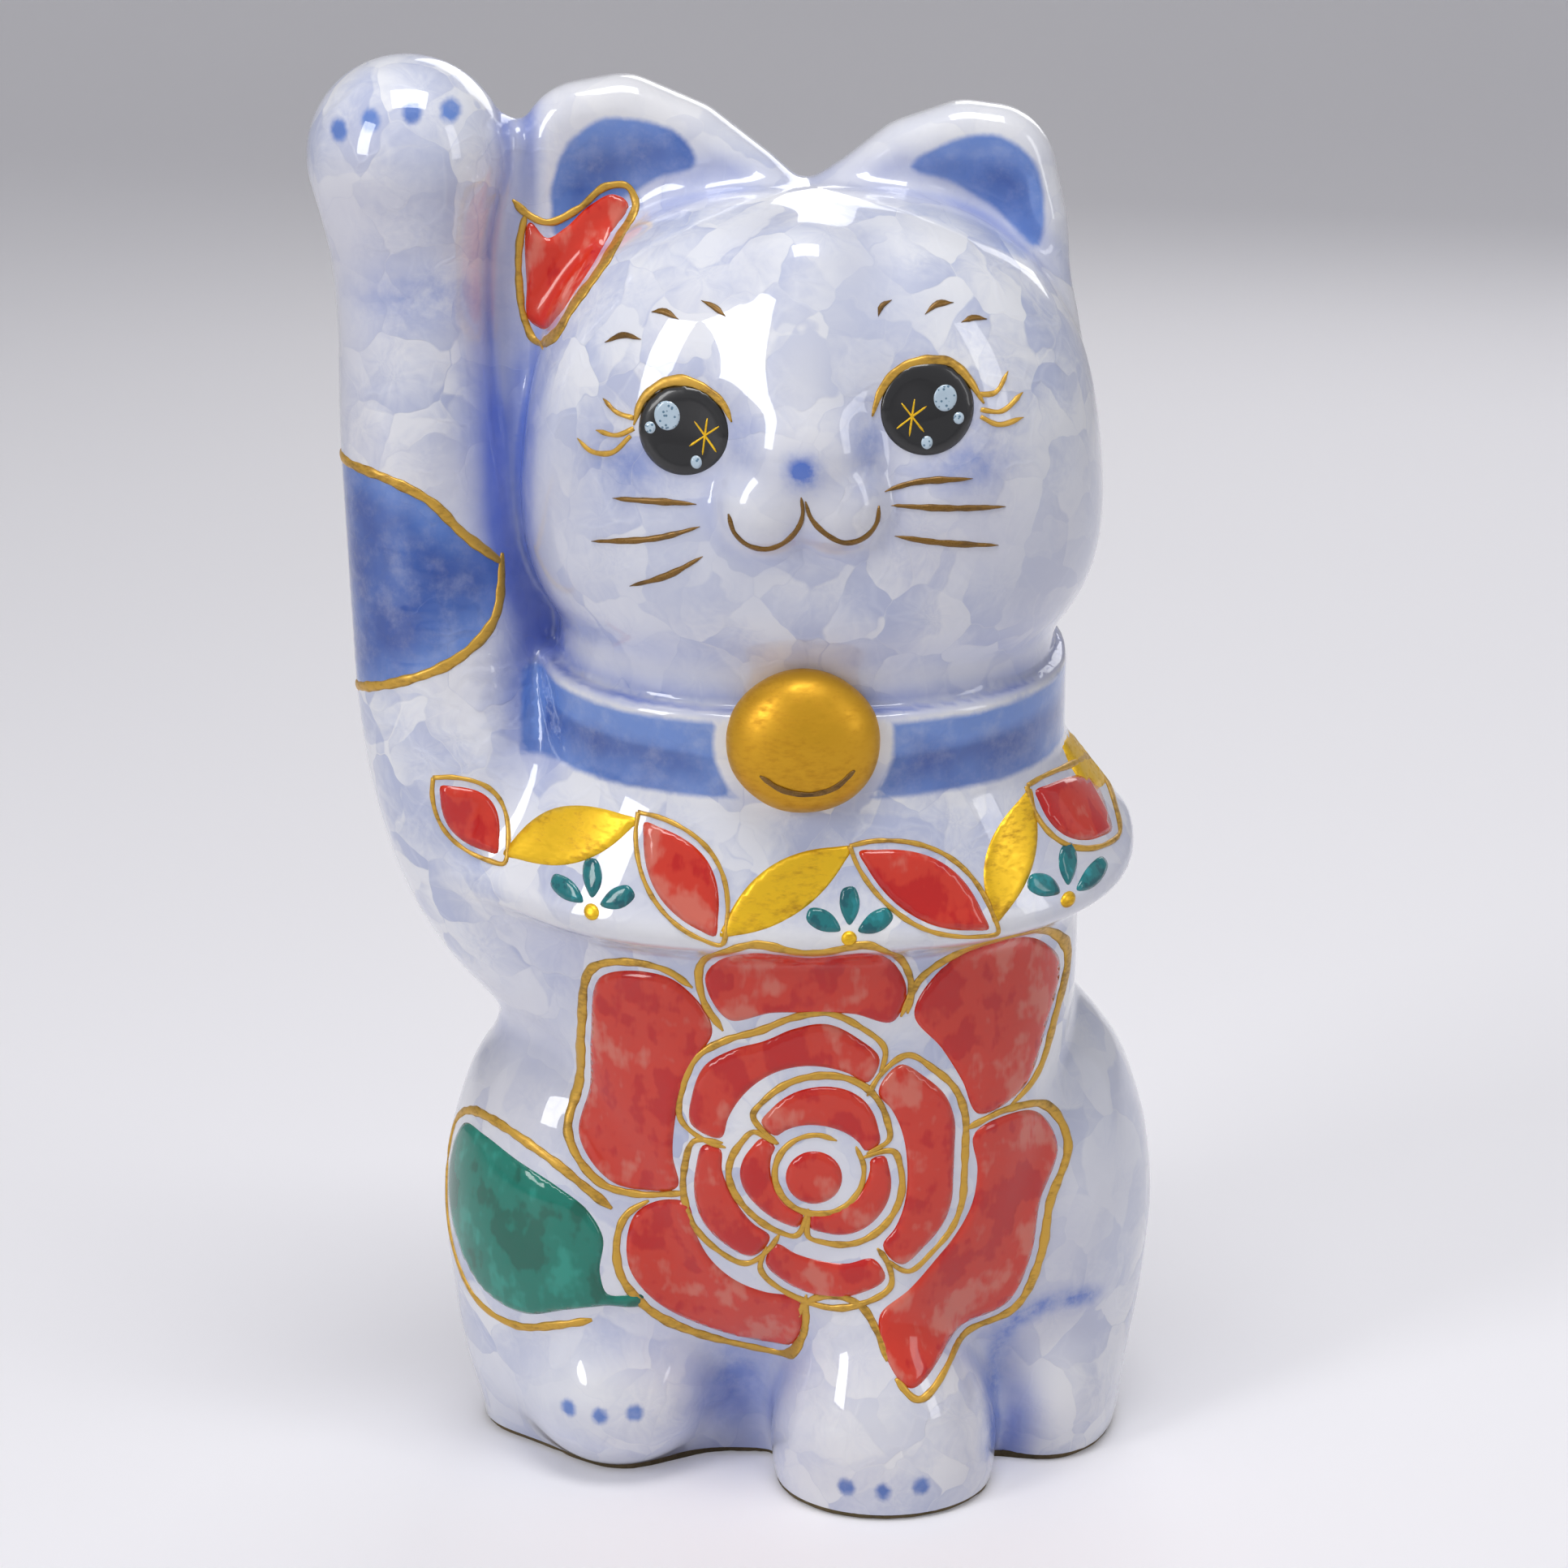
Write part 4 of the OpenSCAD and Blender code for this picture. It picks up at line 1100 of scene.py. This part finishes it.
EYES = [
    dict(side="right", at=(-13.6, 138.6), r=5.3, star=(-10.9, 138.1),
         spots=[(-15.4, 140.3, 1.5), (-17.4, 138.8, 0.62), (-12.0, 134.9, 0.68)],
         lid=[(-19.5, 138.9), (-18.4, 141.9), (-16.1, 143.9), (-14.0, 144.4),
              (-11.1, 143.6), (-8.8, 141.7), (-7.9, 139.9)],
         lashes=[[(-19.5, 139.7), (-21.6, 140.2), (-23.2, 141.6)],
                 [(-19.5, 138.5), (-21.6, 137.5), (-24.1, 137.8)],
                 [(-19.9, 137.6), (-22.4, 135.3), (-24.9, 135.3), (-26.4, 136.5)]]),
    dict(side="left", at=(15.0, 141.2), r=5.5, star=(13.1, 140.3),
         spots=[(17.0, 142.4, 1.35), (18.6, 140.0, 0.62), (14.9, 137.2, 0.68)],
         lid=[(8.5, 140.6), (9.5, 143.4), (11.6, 145.8), (15.0, 146.7),
              (17.5, 146.5), (19.6, 144.7), (21.7, 141.5)],
         lashes=[[(20.9, 142.6), (23.0, 142.6), (24.6, 144.9)],
                 [(21.3, 140.8), (23.8, 140.4), (26.4, 142.3)],
                 [(21.3, 140.0), (23.4, 138.9), (26.5, 139.4)]]),
]
BROWS = [
    [(-23.0, 147.9), (-20.7, 149.0), (-18.6, 148.7)], [(-17.4, 151.8), (-16.1, 152.0), (-14.1, 151.2)],
    [(-11.5, 153.4), (-10.0, 152.8), (-8.6, 151.8)], [(9.2, 151.9), (9.6, 153.0), (10.8, 153.6)],
    [(14.7, 151.9), (16.0, 152.9), (18.1, 153.0)], [(19.0, 150.8), (20.4, 151.2), (22.1, 150.9)],
]
WHISKERS = [
    [(-22.1, 130.0), (-15.3, 130.1), (-12.1, 130.0)], [(-24.8, 124.4), (-16.1, 125.9), (-11.7, 127.4)],
    [(-20.2, 119.4), (-15.6, 121.2), (-11.4, 123.8)], [(10.0, 131.8), (13.3, 132.6), (20.4, 132.8)],
    [(10.7, 130.1), (17.0, 129.5), (24.4, 129.1)], [(11.2, 126.4), (15.8, 125.5), (23.6, 124.5)],
]
MOUTH = [
    [(0.2, 131.8), (0.4, 129.8), (-0.3, 127.6), (-2.0, 125.9),
     (-3.8, 125.2), (-5.9, 125.6), (-7.6, 127.2), (-8.3, 129.5)],
    [(0.7, 131.3), (1.3, 129.3), (3.2, 127.2), (5.6, 126.1), (7.7, 126.7), (9.1, 128.5), (9.3, 130.4)],
]
EYE_RISE = 0.5


def brush_lines(paths, *args, **settings):
    """Several brush lines as one shell."""
    return gather([line(path, *args, **settings) for path in paths])


def build_face():
    """Eyes, brows, mouth and whiskers."""
    gold = []
    for eye in EYES:
        disc = film(circle(eye["at"], eye["r"]), height=EYE_RISE, edge=1.5, pitch=0.5)
        piece(eye["side"] + "_eye_disc", *disc, BLACK, "black_enamel", [eye["side"] + "_eye"])
        spots = gather([film(circle((u, v), r, 22, 1.15), height=0.1, lift=EYE_RISE, edge=0.4, pitch=0.3)
                        for u, v, r in eye["spots"]])
        piece(eye["side"] + "_eye_lights", *spots, LIGHTS, "pearl_glaze")
        star = []
        for angle in (82, 35, 128):
            turn = math.radians(angle)
            reach = 2.35 * np.array([math.cos(turn), math.sin(turn)])
            middle = np.array(eye["star"])
            ends = [middle - reach, middle, middle + reach * 0.9]
            star.append(line(ends, 0.27, height=0.12, lift=EYE_RISE))
        piece(eye["side"] + "_eye_star", *gather(star), GOLD, "gold_lustre")
        gold.append(line(eye["lid"], 1.15, height=0.26, swell=0.45))
        gold += [line(lash, 0.62, ends=(0.8, 0.15)) for lash in eye["lashes"]]
    piece("eyelid_gold", *gather(gold), LINE_GOLD, "gold_lustre", ["eye_gold"])
    brows = brush_lines(BROWS, 0.62, swell=0.6, ends=(0.15, 0.15))
    piece("brow_strokes", *brows, BROWN, "brown_line", ["brow_lines"])
    piece("mouth_strokes", *brush_lines(MOUTH, 0.66, swell=0.3), BROWN, "brown_line", ["mouth_line"])
    whiskers = brush_lines(WHISKERS, 0.72, swell=0.5, ends=(0.2, 0.2))
    piece("whisker_strokes", *whiskers, BROWN, "brown_line", ["whisker_lines"])


HEAD_PATCH = [
    (-32.6, 159.6), (-30.8, 157.8), (-28.6, 159.0), (-25.6, 161.6), (-22.6, 162.9),
    (-20.9, 162.0), (-23.0, 158.4), (-25.2, 155.0), (-27.0, 152.4), (-29.4, 149.0),
    (-31.6, 146.8), (-32.9, 147.4), (-33.4, 152.0),
]
HEAD_PATCH_EDGE = [
    [(-35.0, 162.4), (-33.4, 160.8), (-30.8, 159.7), (-27.0, 161.2), (-23.4, 163.9), (-21.0, 163.9),
     (-20.0, 162.0), (-22.0, 158.2), (-24.6, 154.4), (-27.2, 151.0), (-29.4, 147.4), (-31.6, 145.2)],
    [(-33.4, 160.8), (-34.2, 157.0), (-34.3, 152.0), (-33.6, 147.4), (-32.4, 145.2), (-31.2, 145.1)],
]


def build_patches():
    """The red patch on the head with its gold, and the gold round the arm's blue."""
    piece("head_patch_film", *film(HEAD_PATCH, height=0.32), RED, "red_enamel", ["head_patch"])
    edge = brush_lines(HEAD_PATCH_EDGE, 0.95, height=0.24)
    piece("head_patch_gold", *edge, LINE_GOLD, "gold_lustre", ["head_patch_edge"])
    view = round_view(ARM_AXIS, ARM_RADIUS, 2.6)
    edge = brush_lines((ARM_TOP, ARM_LOW, ARM_BACK), 1.25, view=view, ends=(0.4, 0.4))
    piece("arm_patch_gold", *edge, LINE_GOLD, "gold_lustre", ["arm_patch_edge"])


# Each leaf of the garland: its two tips and its width. Each sprig: where its blades meet.
RED_LEAVES = [((-44.4, 91.4), (-37.4, 83.4), 6.4), ((-18.8, 89.8), (-10.2, 77.0), 7.4),
              ((7.2, 87.0), (23.0, 77.0), 7.0), ((29.0, 91.8), (39.2, 84.4), 5.6)]
GOLD_LEAVES = [((-36.6, 83.4), (-19.6, 90.0), 6.2), ((-9.6, 77.0), (6.4, 87.6), 6.4),
               ((23.8, 77.6), (28.4, 92.2), 6.2), ((32.8, 95.2), (40.4, 87.4), 3.4)]
SPRIGS = [(-25.3, 79.2), (6.0, 77.2), (33.0, 79.4)]


def leaf(a, b, width, out=0.0):
    """A leaf's outline from tip to tip, fuller on one side, `out` mm beyond the leaf."""
    a, b = np.array(a), np.array(b)
    along = (b - a) / np.linalg.norm(b - a)
    a, b = a - along * out * 1.6, b + along * out * 1.6
    side = np.array([-along[1], along[0]])
    t = np.linspace(0, 1, 11)
    full = 4 * t * (1 - t) * width / 2 + out * np.sin(math.pi * t) ** 0.5
    upper = a + (b - a) * t[:, None] + side * (full * 1.12)[:, None]
    lower = a + (b - a) * t[:, None] - side * (full * 0.88)[:, None]
    return [tuple(q) for q in np.concatenate([upper, lower[-2:0:-1]])]


SPRIG_BLADE = [(0.0, 1.2), (1.0, 2.4), (1.25, 4.2), (0.5, 5.7), (-0.7, 5.5), (-1.15, 3.8), (-0.7, 2.2)]


def build_garland():
    """The bib's red and gold leaves, and the sprigs with a berry below each."""
    red = gather([film(leaf(*tips), height=0.34) for tips in RED_LEAVES])
    piece("bib_red_leaf_films", *red, RED, "red_enamel", ["bib_red_leaves"])
    gold = gather([film(leaf(*tips), height=0.2) for tips in GOLD_LEAVES])
    piece("bib_gold_leaf_films", *gold, GOLD, "gold_lustre", ["bib_gold_leaves"])
    rims = [leaf(*tips, out=0.85) for tips in RED_LEAVES]
    edges = brush_lines([rim + rim[:1] for rim in rims], 0.6, ends=(1, 1))
    piece("bib_leaf_gold", *edges, LINE_GOLD, "gold_lustre", ["bib_leaf_edges"])
    films = []
    for u, v in SPRIGS:
        for angle in (-64, 0, 62):
            c, s = math.cos(math.radians(angle)), math.sin(math.radians(angle))
            blade = [(u + a * c - b * s, v + a * s + b * c) for a, b in SPRIG_BLADE]
            films.append(film(blade, height=0.3, pitch=0.45))
    piece("bib_sprig_films", *gather(films), TEAL, "teal_enamel", ["bib_sprigs"])
    berries = [film(circle((u, v - 0.4), 0.95, 24), height=0.34, pitch=0.35) for u, v in SPRIGS]
    piece("bib_berry_dots", *gather(berries), GOLD, "gold_lustre", ["bib_berries"])


ROSE = (2.2, 45.0)
# Petals by rounds, from the outside in: start and end angle in degrees, then the radii of
# the inner edge and of the ruffled outer edge, at even steps from the start to the end.
PETALS = [
    (64, 119, (21.5, 20.6, 22.4), (25.0, 30.0, 28.2, 30.6, 28.4)),
    (17, 59, (21.0, 21.2, 23.2), (27.0, 32.5, 38.5, 38.0, 30.0)),
    (-67, 10, (20.6, 19.6, 20.2, 19.8), (30.5, 30.0, 33.0, 29.0, 31.0, 27.0)),
    (199, 262, (17.0, 19.0, 18.4), (24.0, 28.6, 28.4, 27.6, 26.4)),
    (126, 190, (22.0, 18.8, 17.6), (30.0, 36.0, 29.4, 30.6, 25.4)),
    (62, 160, (13.2, 14.0, 12.6), (16.4, 19.2, 18.2, 19.4, 16.6)),
    (-50, 53, (12.8, 11.2, 12.6), (16.6, 17.6, 17.0, 18.4, 17.2)),
    (167, 236, (12.4, 11.0, 10.6), (14.2, 15.6, 16.2, 14.6)),
    (243, 301, (11.2, 12.2, 13.6), (14.2, 17.0, 17.4, 16.6)),
    (26, 136, (6.6, 6.2, 7.0), (8.6, 11.2, 11.0, 9.6)),
    (147, 252, (6.2, 5.6, 5.8), (8.2, 9.6, 8.6, 7.8)),
    (264, 374, (5.4, 5.6, 6.8), (7.6, 9.4, 9.6, 8.6)),
]
OUTER_PETALS = 5
# The gold line that arches over the foreleg.
PAW_ARCH = [(-1.4, 19.6), (-0.6, 23.0), (1.0, 26.4), (4.2, 28.0), (7.6, 27.0), (9.6, 24.0), (11.0, 20.2)]


def polar(angle, radius):
    """The place at an angle and a radius from the rose's middle."""
    a = np.radians(angle)
    return np.stack([ROSE[0] + radius * np.cos(a), ROSE[1] + radius * np.sin(a)], -1)


def petal_edge(start, end, radii, out=0.0):
    """A petal's edge through radii given at even steps."""
    fine = np.linspace(0, 1, max(len(radii), int((end - start) / 10)))
    rows = [[i / (len(radii) - 1), r] for i, r in enumerate(radii)]
    return polar(start + (end - start) * fine, eased(rows, 1, fine) + out)


def build_rose():
    """The rose on the belly: petals in rings, each with its gold line."""
    films, gold = [], []
    for number, (start, end, inner, outer) in enumerate(PETALS):
        rim = np.concatenate([petal_edge(start, end, outer), petal_edge(start, end, inner)[::-1]])
        films.append(film(rim, height=0.34))
        gap = 3.6 if number < OUTER_PETALS else 5.2
        path = [
            polar(start - gap * 0.8, outer[0] - 2.0),
            *petal_edge(start, end, outer, 1.4),
            polar(end + gap, outer[-1] - 2.4),
            polar(end + gap, inner[-1] - 0.9)]
        gold.append(line(path, 1.15 if number < OUTER_PETALS else 0.9, swell=0.25))
    films.append(film(circle((ROSE[0] - 0.4, ROSE[1] - 0.6), 3.5, 30), height=0.36))
    twist = [polar(a, 4.9 + (a - 60) / 330) for a in range(60, 400, 28)]
    gold.append(line(twist, 0.85, swell=0.3))
    gold.append(line(PAW_ARCH, 1.0, swell=0.2))
    piece("rose_petal_films", *gather(films), RED, "red_enamel", ["rose_petals"])
    piece("rose_gold_lines", *gather(gold), LINE_GOLD, "gold_lustre", ["rose_edges"])


HAUNCH_LEAF = turned([
    (-68, 43.6), (-50, 44.0), (-33, 42.4), (-17, 40.0), (-7, 37.4), (-2, 34.0), (-3, 29.0), (-1, 26.2),
    (11, 25.4), (11, 24.8), (-2, 24.4), (-14, 23.6), (-30, 22.0), (-48, 23.6), (-64, 29.4), (-74, 37.0),
], HAUNCH_RADIUS)
HAUNCH_GOLD = [
    turned([(-82, 37.0), (-78, 43.0), (-66, 45.6), (-48, 46.2), (-32, 45.0), (-18, 42.8), (-7, 40.0),
            (1, 37.6)], HAUNCH_RADIUS),
    turned([(-82, 37.0), (-72, 28.0), (-54, 21.4), (-34, 19.8), (-18, 21.2), (-6, 22.4)], HAUNCH_RADIUS),
]


def build_haunch_leaf():
    """The green leaf round the right haunch, and its gold lines."""
    view = round_view(HAUNCH_AXIS, HAUNCH_RADIUS, 8.0)
    leaf_film = film(HAUNCH_LEAF, view=view, height=0.34)
    piece("haunch_leaf_film", *leaf_film, GREEN, "green_enamel", ["haunch_leaf"])
    edge = brush_lines(HAUNCH_GOLD, 1.15, view=view)
    piece("haunch_leaf_gold", *edge, LINE_GOLD, "gold_lustre", ["haunch_leaf_edge"])


# ---- floor, light and camera, in metres ----------------------------------------

MIDDLE = (0, 0, 0.09)
# Each lamp: place, size, power in watts.
LAMPS = {
    "window_left": ((-0.75, -0.65, 0.55), (0.26, 0.62), 3.8),
    "window_right": ((0.8, -0.45, 0.45), (0.2, 0.6), 1.0),
    "ceiling": ((0.02, -0.25, 1.05), (0.55, 0.4), 5.4),
    "back": ((0.3, 0.9, 0.6), (0.7, 0.5), 2.0),
}
FLOOR_FRONT, FLOOR_BACK = -3.0, 1.5     # y where the flat floor starts and ends
CURVE_R = 0.8                           # radius of the curve up to the backdrop
BACKDROP_TOP = 4.0


def area_light(name, at, size, power):
    """A rectangular lamp that faces the cat's middle."""
    data = bpy.data.lights.new(name, "AREA")
    data.shape = "RECTANGLE"
    data.size, data.size_y = size
    data.energy = power
    lamp = put(name, data)
    lamp.location = at
    lamp.rotation_euler = (Vector(MIDDLE) - Vector(at)).to_track_quat("-Z", "Y").to_euler()


def seen_directly(tree):
    """1 for what the camera sees, straight or in a reflection or through glass, else 0."""
    rays = tree.nodes.new("ShaderNodeLightPath")
    share = rays.outputs["Is Camera Ray"]
    for name in ("Is Glossy Ray", "Is Transmission Ray"):
        either = tree.nodes.new("ShaderNodeMath")
        either.operation = "MAXIMUM"
        tree.links.new(share, either.inputs[0])
        tree.links.new(rays.outputs[name], either.inputs[1])
        share = either.outputs[0]
    return share


def build_stage():
    """A pale floor that curves up to a backdrop, the room's light and the lamps."""
    bend = [(FLOOR_BACK + CURVE_R * math.sin(a), CURVE_R - CURVE_R * math.cos(a))
            for a in np.linspace(0, math.pi / 2, 25)]
    profile = [(FLOOR_FRONT, 0.0), *bend, (FLOOR_BACK + CURVE_R, BACKDROP_TOP)]
    points = [(x, y, z) for y, z in profile for x in (-6.0, 6.0)]
    faces = [(i, i + 1, i + 3, i + 2) for i in range(0, 2 * len(profile) - 2, 2)]
    mesh = bpy.data.meshes.new("floor")
    mesh.from_pydata(points, [], faces)
    mesh.shade_smooth()
    m = Paint("floor_paint", Roughness=0.6)
    m.colour(m.mix(m.noise(400.0, 2.0), srgb(0.90, 0.895, 0.91), srgb(0.88, 0.875, 0.89)))
    m.shader.inputs["Emission Color"].default_value = srgb(0.90, 0.895, 0.92)
    m.feed(m.shader.inputs["Emission Strength"], m.math("MULTIPLY", seen_directly(m.tree), 0.2))
    mesh.materials.append(m.material)
    floor = put("floor", mesh)
    world = bpy.data.worlds.new("studio")
    world.use_nodes = True
    tree = world.node_tree
    lit = tree.nodes["Background"]
    lit.inputs[0].default_value = (0.95, 0.96, 1.0, 1.0)
    lit.inputs[1].default_value = 0.2
    seen = tree.nodes.new("ShaderNodeBackground")
    seen.inputs[0].default_value = srgb(0.80, 0.80, 0.82)
    pick = tree.nodes.new("ShaderNodeMixShader")
    tree.links.new(seen_directly(tree), pick.inputs[0])
    tree.links.new(lit.outputs[0], pick.inputs[1])
    tree.links.new(seen.outputs[0], pick.inputs[2])
    tree.links.new(pick.outputs[0], tree.nodes["World Output"].inputs[0])
    bpy.context.scene.world = world
    for name, lamp in LAMPS.items():
        area_light(name, *lamp)


CAMERA_DISTANCE = 0.52
CAMERA_RISE = math.radians(15)
CAMERA_LENS = 93.84                     # mm, on the usual 36 mm wide sensor
CAMERA_SHIFT = (-0.0098, -0.0111)       # the photograph's framing


def build_camera():
    """The camera, at the height and angle that the figure is seen from."""
    data = bpy.data.cameras.new("camera")
    data.lens = CAMERA_LENS
    data.shift_x, data.shift_y = CAMERA_SHIFT
    data.clip_start, data.clip_end = 0.01, 30.0
    camera = put("camera", data)
    back = CAMERA_DISTANCE * math.cos(CAMERA_RISE)
    camera.location = (0.0, -back, MIDDLE[2] + CAMERA_DISTANCE * math.sin(CAMERA_RISE))
    camera.rotation_euler = (math.pi / 2 - CAMERA_RISE, 0.0, 0.0)
    bpy.context.scene.camera = camera


build_camera()
build_stage()
build_castings()
build_foot()
build_bell()
build_face()
build_patches()
build_garland()
build_rose()
build_haunch_leaf()

bpy.context.scene.view_settings.view_transform = "Standard"
